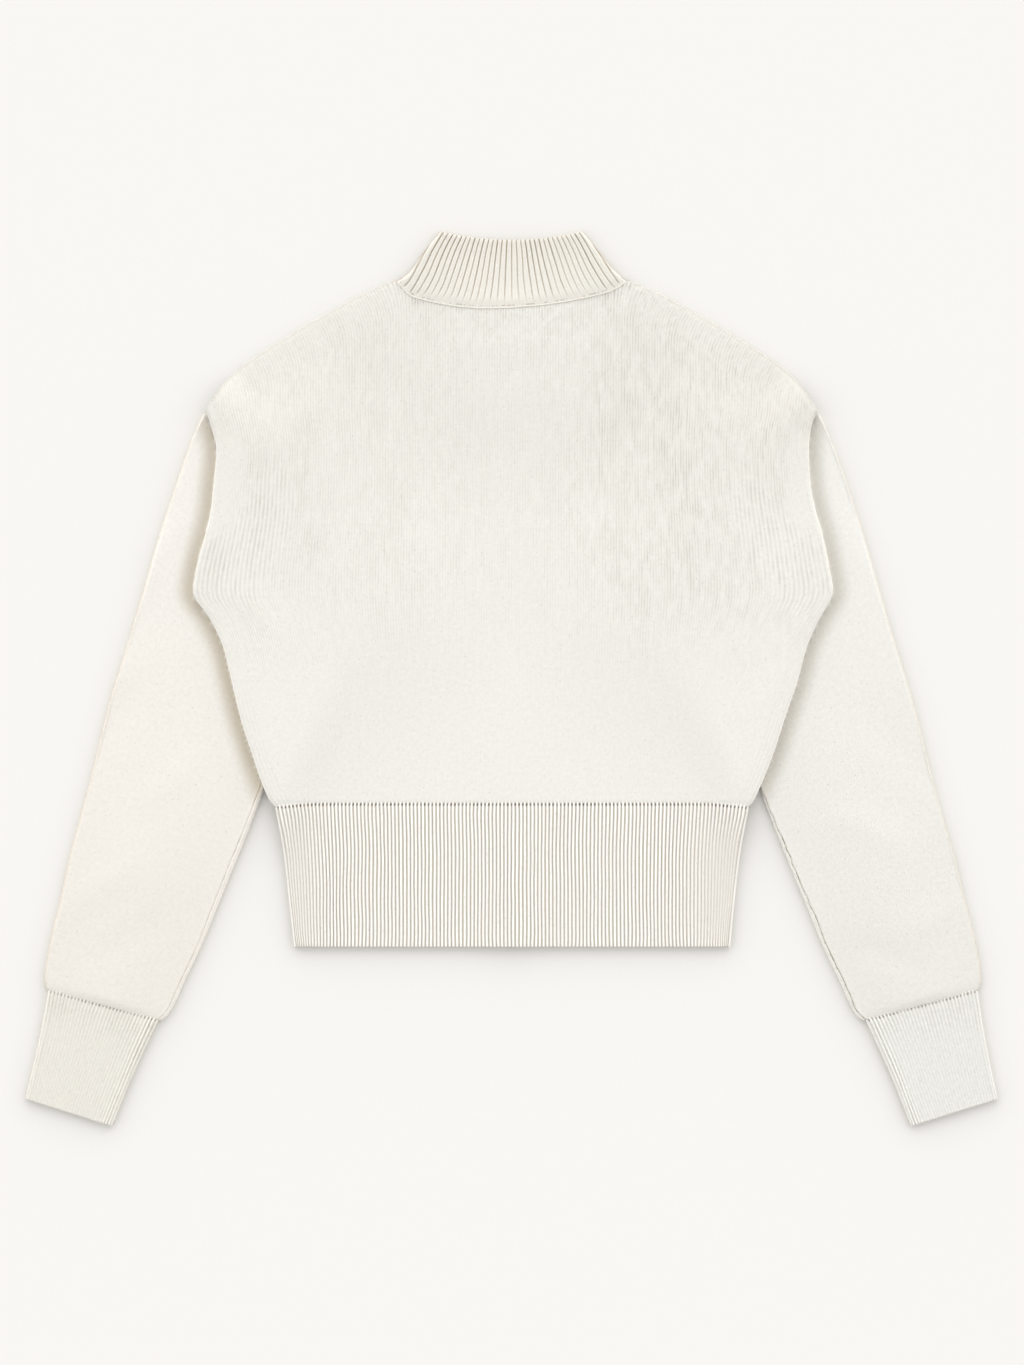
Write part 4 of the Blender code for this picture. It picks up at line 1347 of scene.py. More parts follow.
@dataclass
class Band:
    """What a waistband and a collar share: one ribbed strip, open at the front and folded at both sides.

    A band runs from one front edge along its underside, round a fold, across the back, round the
    other fold and to the other front edge.

    Attributes:
        lay: How the layers lie.
    """

    lay: Lay

    def back_point(self, place: Array, row: Array) -> tuple[Array, Array]:
        """X and Y across the back, for places from -1 to 1."""
        raise NotImplementedError

    def front_point(self, side: int, share: Array, row: Array) -> tuple[Array, Array]:
        """X and Y of a front half, from its edge at 0 to the fold at 1."""
        raise NotImplementedError

    def strip(self, row: Array, back: Array, front: Array) -> Strip:
        """Places of the strip's points before its ribs are raised.

        Args:
            row: The rows, 0 at the lower edge and 1 at the upper.
            back: Places across the back.
            front: Shares along a front half.

        Returns:
            The strip.
        """
        rows = row[:, None]
        turns = np.linspace(-FOLD_TURN, FOLD_TURN, 13)
        pieces = [self._front(-1, front, rows), self._fold(-1, turns, rows)]
        x, y = self.back_point(back[None, :], rows)
        points = np.stack([x, y, self.lay.back(x, y) + self.lay.wall], axis=-1)
        pieces.append((points, np.broadcast_to((0.0, 0.0, 1.0), points.shape)))
        pieces += [self._fold(1, turns[::-1], rows), self._front(1, front[::-1], rows)]
        where = (front, turns, back, turns[::-1], front[::-1])
        return Strip(
            points=np.concatenate([points for points, _ in pieces], axis=1),
            facing=np.concatenate([facing for _, facing in pieces], axis=1),
            part=np.concatenate([np.full(len(places), part) for part, places in enumerate(where)]),
            place=np.concatenate(where),
        )

    def _front(self, side: int, front: Array, rows: Array) -> tuple[Array, Array]:
        """Points of a front half, with its outer face on the floor."""
        x, y = self.front_point(side, front[None, :], rows)
        points = np.stack([x, y, self.lay.floor(x, y)], axis=-1)
        return points, np.broadcast_to((0.0, 0.0, -1.0), points.shape)

    def _fold(self, side: int, turns: Array, rows: Array) -> tuple[Array, Array]:
        """Points round a fold."""
        end = np.full((1, 1), float(side))
        x, y = self.back_point(end, rows)
        ahead_x, ahead_y = self.back_point(end, np.minimum(rows + 0.02, 1))
        behind_x, behind_y = self.back_point(end, np.maximum(rows - 0.02, 0))
        along = np.stack([ahead_x - behind_x, ahead_y - behind_y], axis=-1)
        along /= np.linalg.norm(along, axis=-1, keepdims=True)
        angle = np.radians(turns)[None, :]
        out_x, out_y = side * along[..., 1] * np.cos(angle), -side * along[..., 0] * np.cos(angle)
        facing = np.stack(np.broadcast_arrays(out_x, out_y, np.sin(angle)), axis=-1)
        centre = np.stack([x, y, self.lay.floor(x, y) + self.lay.fold], axis=-1)
        return centre + facing * self.lay.fold, facing


class Pinch(NamedTuple):
    """A place where ribs draw together, or spread if the pull is negative."""

    x: float
    y: float
    wide: float
    tall: float
    pull: float


@dataclass
class Waistband(Band):
    """The deep ribbed waistband.

    Attributes:
        ribs: Ribs across the back.
        crest: Height of a rib over its hollows.
        carve: Depth of a hollow on the fronts, whose crests lie on the floor.
        bottom_y: Height of the lower edge.
        top_y: Height of the upper edge at the middle.
        front_edge: Distance of the front edges from the middle.
        crowd: Share by which ribs lie closer at the sides, at the lower edge.
        cut: Flat size of the waistband.
        pinches: Places where the ribs draw together or spread.
        edge: The side edges, from the lower edge to the upper.
    """

    ribs: int = 124
    crest: float = 1.15 * MM
    carve: float = 0.7 * MM
    bottom_y: float = -0.2139
    top_y: float = -0.0991
    front_edge: float = 0.0039
    crowd: float = 0.082
    cut: Cut = Cut(0.75, 0.1125, 0.082)
    pinches: tuple[Pinch, ...] = (
        Pinch(-0.141, -0.166, 0.011, 0.016, 1.0 * MM),
        Pinch(-0.110, -0.152, 0.008, 0.020, -0.9 * MM),
        Pinch(-0.128, -0.190, 0.010, 0.012, -0.6 * MM),
        Pinch(0.128, -0.150, 0.012, 0.022, 0.8 * MM),
        Pinch(0.148, -0.186, 0.009, 0.014, -0.7 * MM),
        Pinch(0.020, -0.172, 0.012, 0.020, 0.4 * MM),
        Pinch(-0.040, -0.140, 0.012, 0.020, -0.4 * MM),
    )
    edge: tuple[EdgeRow, ...] = (
        EdgeRow(-0.2139, -0.1738, 0.1748),
        EdgeRow(-0.1732, -0.1784, 0.1788),
        EdgeRow(-0.1388, -0.1822, 0.1829),
        EdgeRow(-0.1007, -0.1890, 0.1898),
    )

    def back_point(self, place: Array, row: Array) -> tuple[Array, Array]:
        """X and Y across the back. Ribs lie a little closer at the sides, lower down."""
        y = lerp(self.bottom_y, self.top_y - self.lay.hem_dip(0.187 * place), row) + 0 * place
        ys = [r.y for r in self.edge]
        left = Track(ys, [-r.left for r in self.edge])(y)
        right = Track(ys, [r.right for r in self.edge])(y)
        half = np.where(place > 0, right, left) - self.lay.fold
        crowd = self.crowd * (1 - row)
        return place * (1 + crowd - crowd * place**8) * half, y

    def front_point(self, side: int, share: Array, row: Array) -> tuple[Array, Array]:
        """X and Y of a front half."""
        x, y = self.back_point(side * np.maximum(share, 1e-6), row)
        return side * np.maximum(abs(x), self.front_edge), y

    def build(self, stitches: StitchRow) -> None:
        """Builds and dresses the waistband and the loops that link it to the body."""
        half = self.ribs // 2
        depth = self.top_y - self.bottom_y
        runs = ((0, 1.2, 3), (1.2, 4, 2), (4, 106, 18), (106, 109, 3), (109, depth / MM, 7))
        row = spread(*runs) * MM / depth
        strip = self.strip(row, np.linspace(-1, 1, self.ribs * 6 + 1), np.linspace(0, 1, half * 4 + 1))
        at, on_back, sunk = strip.place, strip.on_back, strip.sunk
        count = np.where(strip.on_fold, half + 1 + at / 90, at * half)
        x, y = strip.points[..., 0], strip.points[..., 1]
        from_top = self.top_y - self.lay.hem_dip(x) - y
        from_bottom = y - self.bottom_y

        wave = rib_wave(count[None, :] + 0 * y) ** 0.85
        towards_side = 0.58 * ease(0.78, 0.95, -at) + 0.74 * ease(0.67, 0.95, at)
        middle = (1 - 0.9 * hump(from_top, 22 * MM)) * (1 - 0.5 * hump(from_bottom, 10 * MM))
        strength = (1 - towards_side * on_back * middle) * (1 + 0.08 * Drift(21, 0.02, 0.05)(x, y))
        strength = strength * (1 - 0.4 * hump(from_top, 1.0 * MM))
        free = ease(0, 12 * MM, from_top) * ease(0, 8 * MM, from_bottom) * on_back
        chance = np.random.default_rng(24).uniform(0.5, 1.0, self.ribs + 1)
        which = np.clip(np.round(count).astype(int) + half, 0, self.ribs)
        dot = hump(from_top - 1.0 * MM, 0.9 * MM) * hump(((count + 0.5) % 1) - 0.5, 0.24)
        hole = dot * np.where(on_back, chance[which], 0.4)
        raise_by = strength * wave * lerp(self.crest, self.carve, sunk) - self.carve * sunk
        raise_by = raise_by - 0.9 * MM * hole - 0.25 * MM * on_back * hump(from_top, 0.5 * MM)
        points = strip.points + strip.facing * raise_by[..., None]
        points[..., 0] += self.swayed(x, y) * free
        points[..., 2] = np.maximum(points[..., 2], 0.0)

        # Painted shade in the rib hollows, on folds that face sideways and along the lowest half millimetre;
        # where ribs fade it tends to a mid tone.
        lit = strength * (0.92 + 0.08 * Drift(25, 0.01, 0.03)(x, y))
        shade = lerp(0.42, ease(0.12, 0.80, wave), lit)
        shade = shade - 0.9 * (1 - ease(0.0, 0.99, strip.facing[..., 2]))
        shade = shade - 0.5 * (row[:, None] * depth < 0.5 * MM)
        # The hole mark paints shade in the linking holes and on rims that face sideways.
        hole_and_rim_shade = np.clip(hole * 1.6 + 0.4 * rim(strip.facing), 0, 1)
        mesh = Shell(
            outer=points,
            inner=strip.points - strip.facing * self.lay.wall,
            rows=keys(len(row), 3),
            columns=strip.columns(12),
            knit=np.stack(np.broadcast_arrays(count * WAIST_RIB.wale, y), axis=-1),
            marks={"rib": np.clip(shade, 0, 1), "hole": hole_and_rim_shade},
        ).mesh("waistband_rib")
        lay_cloth("waistband_rib", mesh, WAIST_RIB, "knit_rib", "waistband")
        self.link(stitches)

    def swayed(self, x: Array, y: Array) -> Array:
        """How far ribs stray sideways from their lines."""
        total = 0.40 * MM * Drift(22, 0.017, 0.034)(x, y) + 0.18 * MM * Drift(23, 0.006, 0.018)(x, y)
        for pinch in self.pinches:
            across = (x - pinch.x) / pinch.wide
            total -= pinch.pull * across * hump(across, 1.0) * hump(y - pinch.y, pinch.tall)
        return total

    def link(self, stitches: StitchRow) -> None:
        """Sews one loop over the seam at each crest of the back."""
        half = self.ribs // 2
        place = (np.arange(-half, half) + 0.5) / half
        x, y = self.back_point(place, np.ones_like(place))
        points = np.column_stack([x, y + 0.10 * MM, self.lay.back(x, y) + self.lay.wall - 0.05 * MM])
        sizes = {"Length": 2.6 * MM, "Thickness": 1.2 * MM, "Rise": 0.20 * MM}
        sizes |= {"Turn": math.pi / 2, "Unevenness": 0.14}
        stitches.sew("waist_linking", [level(points)], LINKING_YARN, "knit_rib", sizes, evenly=False, seed=4)


@dataclass
class Collar(Band):
    """The ribbed mock neck. Some of its ribs turn out of sight round the folds towards the top.

    Attributes:
        body: The body that it is linked to.
        base_ribs: Ribs from the centre to the fold at the base.
        top_ribs: Ribs from the centre to the fold at the top.
        groove: How deep the narrow hollows are.
        top_half: Half the width of the top edge.
        top_middle_y: Height of the top edge at the middle.
        top_tip_y: Height of the top edge at the folds.
        front_top_y: Height of the front's top edge at the zip.
        bow: How far the sides curve in.
        cut: Flat size of the collar.
    """

    body: Body
    base_ribs: float = 16.6
    top_ribs: float = 15.1
    groove: float = 1.3 * MM
    top_half: float = 0.0564
    top_middle_y: float = 0.3520
    top_tip_y: float = 0.3580
    front_top_y: float = 0.2910
    bow: float = 2.4 * MM
    cut: Cut = Cut(0.42, 0.062, 0.0215)

    def _between(self, base: Any, top: Any, share: Array, row: Array) -> tuple[Array, Array]:
        """A point between the base and the top edge, with the sides curved in, most near the base."""
        bow = self.bow * 6.75 * row * (1 - row) ** 2 * share
        return lerp(base[0], top[0], row) - bow, lerp(base[1], top[1], row)

    def back_point(self, place: Array, row: Array) -> tuple[Array, Array]:
        """X and Y across the back."""
        share = abs(place)
        base_x = share * (self.body.neck_half - self.lay.fold)
        top = (share * (self.top_half - self.lay.fold), lerp(self.top_middle_y, self.top_tip_y, share**2))
        x, y = self._between((base_x, self.body.back_neck(base_x)), top, share, row)
        return np.sign(place) * x, y

    def front_point(self, side: int, share: Array, row: Array) -> tuple[Array, Array]:
        """X and Y of a front half, whose top edge dips to the zip."""
        first = self.body.front_edge
        base_x = np.maximum(share * (self.body.neck_half - self.lay.fold), first)
        top_x = np.maximum(share * (self.top_half - self.lay.fold), first)
        top = (top_x, lerp(self.front_top_y, self.top_tip_y, share**2.2))
        x, y = self._between((base_x, self.body.front_neck(base_x)), top, share, row)
        return side * x, y

    def build(self, stitches: StitchRow) -> None:
        """Builds and dresses the collar and the chain that links it to the body."""
        row = spread((0, 0.06, 8), (0.06, 0.36, 10), (0.36, 0.95, 16), (0.95, 1.0, 5))
        strip = self.strip(row, np.linspace(-1, 1, 401), np.linspace(0, 1, 181))
        at, on_back, sunk = strip.place, strip.on_back, strip.sunk
        way = np.sign(strip.part - 2)
        strip.points[..., 1] += self.body.slip(strip.points[..., 0], strip.points[..., 1])
        x, y = strip.points[..., 0], strip.points[..., 1]
        rows = row[:, None]

        reach = lerp(self.base_ribs, self.top_ribs, rows**0.9)
        back_count = reach * at * (1 - 0.12 * (1 - rows) * (1 - abs(at)))
        fold_count = way * (reach + 0.65 - at / 125)
        front_count = way * (reach + 1.3 + (1 - at) * lerp(20.0, 17.0, rows))
        count = np.where(on_back, back_count, np.where(strip.on_fold, fold_count, front_count))
        count = count + 0.07 * Drift(31, 0.008, 0.02)(x, y)
        away = abs(((count + 0.5) % 1) - 0.5)

        numbers = np.round(count).astype(int) + 64
        chance = np.random.default_rng(32).uniform(0.7, 1.0, 160)[np.clip(numbers, 0, 159)]
        beside = np.where(on_back, ease(0.72, 0.94, abs(at)), 1.0)
        growth = ease(0.02, lerp(0.22, 0.07, beside), rows) * lerp(lerp(0.55, 0.85, beside), 1.0, rows)
        hollow = hump(away, lerp(0.080, 0.150, rows)) * chance
        crest_line = hump(away - 0.5, 0.09)
        carve = self.groove * growth * (hollow + 0.16 * crest_line)
        lift = lerp(0.9 * MM * ease(0.0, 0.15, rows), 0.0, sunk)
        lip = 0.35 * MM * ease(0.965, 1.0, rows)
        gaps = ease(-0.1, 0.6, Drift(33, 0.0011, 1.0)(x, 0 * y))
        base_dot = hump(rows - 0.036, 0.009) * gaps * on_back
        raise_by = lift - carve * lerp(1.0, 0.55, sunk) - lip - 0.3 * MM * base_dot
        points = strip.points + strip.facing * raise_by[..., None]
        points[..., 1] -= 0.5 * MM * hollow * ease(0.9, 1.0, rows)
        points[..., 2] = np.maximum(points[..., 2], 0.0)

        # Painted shade in the grooves and on the side folds; the hole mark paints shade in the dots along
        # the base and on rims that face sideways.
        shade = 1 - growth * np.clip(1.05 * hollow + 0.1 * crest_line, 0, 1)
        shade = shade - 0.95 * (1 - ease(0.1, 0.98, strip.facing[..., 2]))
        mesh = Shell(
            outer=points,
            inner=strip.points - strip.facing * self.lay.wall,
            rows=keys(len(row), 2),
            columns=strip.columns(8),
            knit=np.stack([count * COLLAR_RIB.wale, y], axis=-1),
            marks={"rib": np.clip(shade, 0, 1), "hole": 0.4 * base_dot + 0.5 * rim(strip.facing)},
        ).mesh("collar_rib")
        lay_cloth("collar_rib", mesh, COLLAR_RIB, "knit_rib", "collar")
        self.link(stitches)

    def link(self, stitches: StitchRow) -> None:
        """Sews the chain of loops along the collar's base."""
        place = np.linspace(-0.985, 0.985, 160)
        x, y = self.back_point(place, np.zeros_like(place))
        y = y + self.body.slip(x, y)
        points = np.column_stack([x, y + 0.25 * MM, self.lay.back(x, y) + self.lay.wall + 0.2 * MM])
        sizes = {"Spacing": 2.3 * MM, "Length": 3.0 * MM, "Thickness": 1.0 * MM}
        sizes |= {"Rise": 0.25 * MM, "Turn": 0.12, "Unevenness": 0.12}
        stitches.sew("collar_linking", [level(points)], SHADED_NECK_YARN, "knit_rib", sizes, seed=7)


# ---------------------------------------------------------------- sleeves and cuffs


class Tube(NamedTuple):
    """A flattened tube's points before anything is raised on it, by row and column.

    Attributes:
        points: The points.
        facing: The way that each faces.
        part: Each column's part: 0 top, 1 inner fold, 2 underside, 3 outer fold.
        inward: Distance from the inner edge.
        place: Place across, from -1 to 1.
    """

    points: Array
    facing: Array
    part: Array
    inward: Array
    place: Array


@dataclass
class Sleeve:
    """A plain sleeve, tucked under the body at its upper end, with its ribbed cuff.

    Attributes:
        lay: How the layers lie.
        body: The body that lies on it.
        side: Which sleeve.
        seam_in: Distance of the underarm seam from the sleeve's inner edge, by height.
        seam_wave: How far the seam wanders from its line.
        seam_dark: How deep the seam's groove is and how dark its painted shade is, from 0 to 1.
        armhole_shade: How dark the painted shadow of the body's edge lies on the cloth, from 0 to 1.
        widen_in: How far this side's inner edge lies outside the common one.
        flare: How far its outer edge does, low down.
        edge_strip: Width of the strip along the inner edge that has closer columns, for the seam.
        knit: The sleeve's knit.
        rib: The cuff's knit.
        cuff_ribs: Ribs across the cuff.
        cuff_crest: Height of a cuff's rib over its hollows.
        cuff_inset: How far the cuff's ends lie inside the sleeve's edges at the seam.
        cuff_length: Length of the cuff.
        cuff_width: Width of the cuff, for its shading.
        cuff_end: The cuff's free end, for the right side.
        cut: Flat size of the sleeve.
        cuff_cut: Flat size of the cuff.
        creases: Soft folds, placed for this side.
    """

    lay: Lay
    body: Body
    side: Side
    seam_in: Track = Track((-0.27, -0.205, -0.150, -0.11), (0.0028, 0.0030, 0.0040, 0.0034))
    seam_wave: float = 0.25 * MM
    seam_dark: float = 0.4
    armhole_shade: float = 0.74
    widen_in: float = 0.5 * MM
    flare: float = 0.0
    edge_strip: float = 18 * MM
    knit: KnitFinish = SLEEVE_KNIT
    rib: KnitFinish = CUFF_RIB
    cuff_ribs: int = 32
    cuff_crest: float = 0.85 * MM
    cuff_inset: float = 1.2 * MM
    cuff_length: float = 89.5 * MM
    cuff_width: float = 80 * MM
    cuff_end: Section = Section(0.3896, -0.3353, 0.3194, -0.3576, 0.0003)
    cut: Cut = Cut(0.40, 0.53, 0.150)
    cuff_cut: Cut = Cut(0.190, 0.0885, 0.0150)
    creases: tuple[Crease, ...] = ()

    def sections(self, steps: int) -> dict[str, Array]:
        """Smooth sections along the sleeve, from the cuff to the tucked end.

        Args:
            steps: How many rows.

        Returns:
            The outer and inner edge points and the crowns.
        """
        table = np.array(self.lay.sleeves)
        middles = (table[:, :2] + table[:, 2:4]) / 2
        along = np.append(0, np.cumsum(np.linalg.norm(np.diff(middles, axis=0), axis=1)))
        ends = spread((0, 1.2 * MM, 3), (1.2 * MM, 9 * MM, 6), (9 * MM, along[-1], steps))
        values = np.column_stack([Track(along, table[:, i])(ends) for i in range(5)])
        values[:, 0] += self.flare * ease(-0.08, -0.21, values[:, 1])
        values[:, 2] -= self.widen_in
        return {"outer": values[:, :2], "inner": values[:, 2:4], "crown": values[:, 4], "along": ends}

    def tube(self, sections: dict[str, Array], offsets: Array, under: int) -> Tube:
        """Points of a flattened tube before anything is raised on it.

        Args:
            sections: Its sections.
            offsets: Columns of the upper face. Those up to 1 are shares of the way from the outer
                edge to a strip along the inner edge, and those above 1 go on to 2 across that strip.
            under: How many columns the underside has.

        Returns:
            The tube.
        """
        start = np.column_stack([self.side.value * sections["outer"][:, 0], sections["outer"][:, 1]])
        finish = np.column_stack([self.side.value * sections["inner"][:, 0], sections["inner"][:, 1]])
        across = finish - start
        width = np.linalg.norm(across, axis=1)
        across /= width[:, None]
        middle = (start + finish) / 2
        fold = self.lay.fold
        flat = (width / 2 - fold)[:, None]
        strip = self.edge_strip
        share = np.clip(offsets, 0, 1)[None, :]
        into = np.clip(offsets - 1, 0, 1)[None, :]
        place = -flat + share * (2 * flat - strip) + into * strip
        crown = sections["crown"][:, None] * (1 - (place / flat) ** 2) ** 2
        turns = np.radians(np.linspace(-FOLD_TURN, FOLD_TURN, 11))
        parts = [(place, 2 * fold + crown, 0 * place, 1 + 0 * place)]
        for end, angles in ((1, turns[::-1]), (-1, turns)):
            cos, sin = np.cos(angles)[None, :] + 0 * flat, np.sin(angles)[None, :] + 0 * flat
            parts.append((end * (flat + fold * cos), fold * (1 + sin), end * cos, sin))
            if end > 0:
                low = np.linspace(1, -1, under)[None, :] * flat
                parts.append((low, 0 * low, 0 * low, -1 + 0 * low))
        along, height, aside, up = (np.concatenate(values, axis=1) for values in zip(*parts))
        on_floor = middle[:, None, :] + along[..., None] * across[:, None, :]
        turned = aside[..., None] * across[:, None, :]
        return Tube(
            points=np.concatenate([on_floor, height[..., None]], axis=-1),
            facing=np.concatenate([turned, up[..., None]], axis=-1),
            part=np.concatenate([np.full(values[0].shape[1], part) for part, values in enumerate(parts)]),
            inward=width[:, None] / 2 - along,
            place=along / (width[:, None] / 2),
        )

    def build(self, stitches: StitchRow) -> None:
        """Builds and dresses the sleeve, its cuff and their seams."""
        name = f"sleeve_knit_{self.side.word}"
        sections = self.sections(105)
        tube = self.tube(sections, spread((0, 1, 84), (1, 1.6, 6), (1.6, 2, 24)), 20)
        facing, part = tube.facing, tube.part
        x, y = tube.points[..., 0], tube.points[..., 1]
        top = (part == 0).astype(float)
        along = sections["along"][:, None]

        outline = self.body.outline()
        covered = inside_line(x, y, outline)
        beside = distance_to_line(x, y, np.vstack([outline, outline[:1]]))
        open_air = np.where(covered, 0, ease(0, 26 * MM, beside))
        from_tip = np.hypot(abs(x) - self.body.tip_x, y - self.body.edge[-1].y)
        pressed = (1 - ease(3 * MM, 14 * MM, beside)) * ~covered * ease(4 * MM, 40 * MM, from_tip)
        trough = -0.8 * MM * pressed * ease(0, 20 * MM, tube.inward)
        joined = 2.2 * MM * hump(from_tip, 15 * MM) * ease(0, 2.5 * MM, beside) * ~covered * (part != 2)

        wander = Drift(41, 1, 0.006)(0, along) + 0.6 * Drift(42, 1, 0.016)(0, along)
        seam = tube.inward - self.seam_in(sections["inner"][:, 1:2]) - self.seam_wave * wander
        groove = -0.8 * self.seam_dark * MM * hump(seam, 0.5 * MM)
        groove = groove + 0.25 * MM * hump(seam + 1.3 * MM, 0.7 * MM)
        groove = groove + 0.12 * MM * hump(seam - 1.5 * MM, 0.9 * MM)
        soft = 0.30 * MM * Drift(43 + self.side.value, 0.05, 0.05)(x, y) + creased(x, y, self.creases)
        soft = open_air * ease(0, 12 * MM, tube.inward) * soft
        end_roll = 0.27 * MM * (2 - ease(0, 1.5 * MM, along) - ease(0, 7 * MM, along))
        under_roll = 0.8 * MM * (1 - ease(0, 2.2 * MM, along))
        raise_by = top * (trough + soft) + (part < 2) * groove
        raise_by = raise_by - np.where(part == 2, under_roll, end_roll)
        points = tube.points + facing * raise_by[..., None]
        points[..., 2] = np.maximum(points[..., 2] + joined, 0.0)
        inner = tube.points - facing * self.lay.wall
        inner[-1, :, :2] += (inner[-2, :, :2] - inner[-1, :, :2]) * 0.8

        # Painted shade: the seam's line and dashes in its groove, the body's shadow beside its edge, the
        # outer fold, lower down the sleeve and where the cloth faces down.
        line = hump(seam, 0.38 * MM) * (part < 2) * (0.7 + 0.3 * Drift(45, 1, 0.011)(0, along))
        dash = line * ease(0.2, 0.8, Drift(44, 1, 0.0035)(0, along))
        shadow = self.armhole_shade * (1 - ease(3 * MM, 17 * MM, beside)) * ~covered * top
        shadow = shadow * ease(0, 13 * MM, from_tip)
        outer_rim_shade = 0.6 * (part == 3) * hump(facing[..., 2] - 0.5, 0.45)
        low_down_shade = 0.10 * ease(0.12, -0.02, y) + 0.09 * ease(-0.04, -0.24, y)
        shade = 1 - self.seam_dark * line - shadow - outer_rim_shade - low_down_shade
        shade = shade - 0.8 * ease(0.4, -0.4, facing[..., 2])
        mesh = Shell(
            outer=points,
            inner=inner,
            rows=keys(len(along), 2),
            columns=keys(len(part), 6),
            knit=np.stack([tube.inward, along + 0 * x], axis=-1),
            marks={"rib": np.clip(shade, 0, 1), "hole": 0.8 * self.seam_dark * dash},
            ring=True,
            capped=True,
        ).mesh(name)
        lay_cloth(name, mesh, self.knit, "knit_sleeve", f"sleeve_{self.side.word}")
        if self.seam_dark > 0.5:
            self._sew_seam(stitches, tube, seam)
        self._build_cuff(stitches, sections)

    def _sew_seam(self, stitches: StitchRow, tube: Tube, seam: Array) -> None:
        """Sews the underarm seam along its groove, where it shows.

        Args:
            stitches: The row of threads.
            tube: The sleeve's points.
            seam: Distance of each from the seam.
        """
        top = tube.part == 0
        nearest = np.argmin(abs(seam[:, top]), axis=1)
        rows = np.arange(len(nearest))
        points = tube.points[:, top][rows, nearest]
        shown = (points[:, 1] < self.body.hem_y + 14 * MM) & (rows > 3)
        points = points[shown] + (0, 0, -0.35 * MM)
        sizes = {"Spacing": 7.3 * MM, "Length": 2.2 * MM, "Thickness": 0.4 * MM}
        sizes |= {"Rise": 0.10 * MM, "Turn": 0.1, "Unevenness": 0.7}
        name = f"underarm_seam_{self.side.word}"
        stitches.sew(name, [level(points)], SEAM_THREAD, "knit_sleeve", sizes, seed=9 + self.side.value)

    def _build_cuff(self, stitches: StitchRow, sections: dict[str, Array]) -> None:
        """Builds and dresses the cuff and the loops that link it to the sleeve."""
        name = f"cuff_rib_{self.side.word}"
        outer, inner = sections["outer"][0], sections["inner"][0]
        across = (inner - outer) / np.linalg.norm(inner - outer)
        down = np.array((-across[1], across[0])) * self.lay.seam / 2
        first_outer = outer + across * self.cuff_inset + down
        first_inner = inner - across * (self.cuff_inset + 0.9 * MM) + down
        end, length, ribs = self.cuff_end, self.cuff_length, self.cuff_ribs
        row = spread((0, 5, 10), (5, 12, 4), (12, 84, 12), (84, length / MM, 5)) * MM / length
        bulge = 1.1 * MM * np.sin(math.pi * row)[:, None] * across
        last_outer, last_inner = np.array((end.outer_x, end.outer_y)), np.array((end.inner_x, end.inner_y))
        cuff = {
            "outer": lerp(first_outer, last_outer, row[:, None]) + bulge,
            "inner": lerp(first_inner, last_inner, row[:, None]) - bulge,
            "crown": np.full(len(row), end.crown),
        }
        tube = self.tube(cuff, np.linspace(0, 2, ribs * 6 + 1), ribs * 3 + 1)
        facing, top, under = tube.facing, tube.part == 0, tube.part == 2
        x, y = tube.points[..., 0], tube.points[..., 1]
        along = row[:, None] * length

        count = (tube.place + 1) / 2 * ribs
        outward = (tube.place + 1) / 2 * self.cuff_width
        count = np.where(under, -count, count)
        wave = rib_wave(count)
        strength = lerp(0.20, 0.60, 1 - ease(4 * MM, 36 * MM, along))
        strength = strength + 0.7 * hump(tube.inward - 5 * MM, 4 * MM)
        strength = strength + 0.22 * hump(outward - 3.5 * MM, 2.0 * MM)
        strength = strength * (1 + 0.35 * Drift(51 + self.side.value, 0.008, 0.012)(x, y))
        away = abs(((count + 0.5) % 1) - 0.5)
        numbers = np.clip(np.round(count).astype(int), 0, ribs)
        chance = np.random.default_rng(52 + self.side.value).uniform(0.35, 1.0, ribs + 1)[numbers]
        hole = hump(along - 1.0 * MM, 0.9 * MM) * hump(away, 0.22) * chance * top
        crest = strength * np.where(top, self.cuff_crest, 0.55 * MM)
        sunk = np.where(top, 0.0, 0.5)
        raise_by = crest * (wave - sunk) * (1 - 0.5 * hump(along, 1.4 * MM))
        raise_by = np.where(under, -abs(crest * (1 - wave)) * 0.8, raise_by)
        raise_by = raise_by - 0.6 * MM * hole - 0.1 * MM * top * hump(along, 0.9 * MM)
        sway = 0.5 * MM * Drift(53 + self.side.value, 0.014, 0.03)(x, y) * ease(0, 9 * MM, along)
        points = tube.points + facing * raise_by[..., None]
        points[..., 0] += sway * top
        points[..., 2] = np.maximum(points[..., 2], 0.0)

        # Painted shade on the folds, where the cloth faces down, in the rib hollows and along the free end's
        # edge; the hole mark paints shade in the linking holes and on rims that face sideways.
        turned = 0.45 * (1 - ease(0.0, 0.99, facing[..., 2])) + 0.4 * ease(0.4, -0.4, facing[..., 2])
        shade = 0.81 - strength * (0.5 - wave) - turned - 0.3 * (along > length - 0.5 * MM)
        hole_and_rim_shade = np.clip(0.95 * hole + 0.35 * rim(facing), 0, 1)
        mesh = Shell(
            outer=points,
            inner=tube.points - facing * self.lay.wall,
            rows=keys(len(row), 3),
            columns=keys(len(tube.part), 6),
            knit=np.stack([count * CUFF_RIB.wale, along + 0 * x], axis=-1),
            marks={"rib": np.clip(shade, 0, 1), "hole": hole_and_rim_shade},
            ring=True,
        ).mesh(name)
        lay_cloth(name, mesh, self.rib, "knit_rib", f"cuff_{self.side.word}")
        self._link_cuff(stitches, first_outer, first_inner)

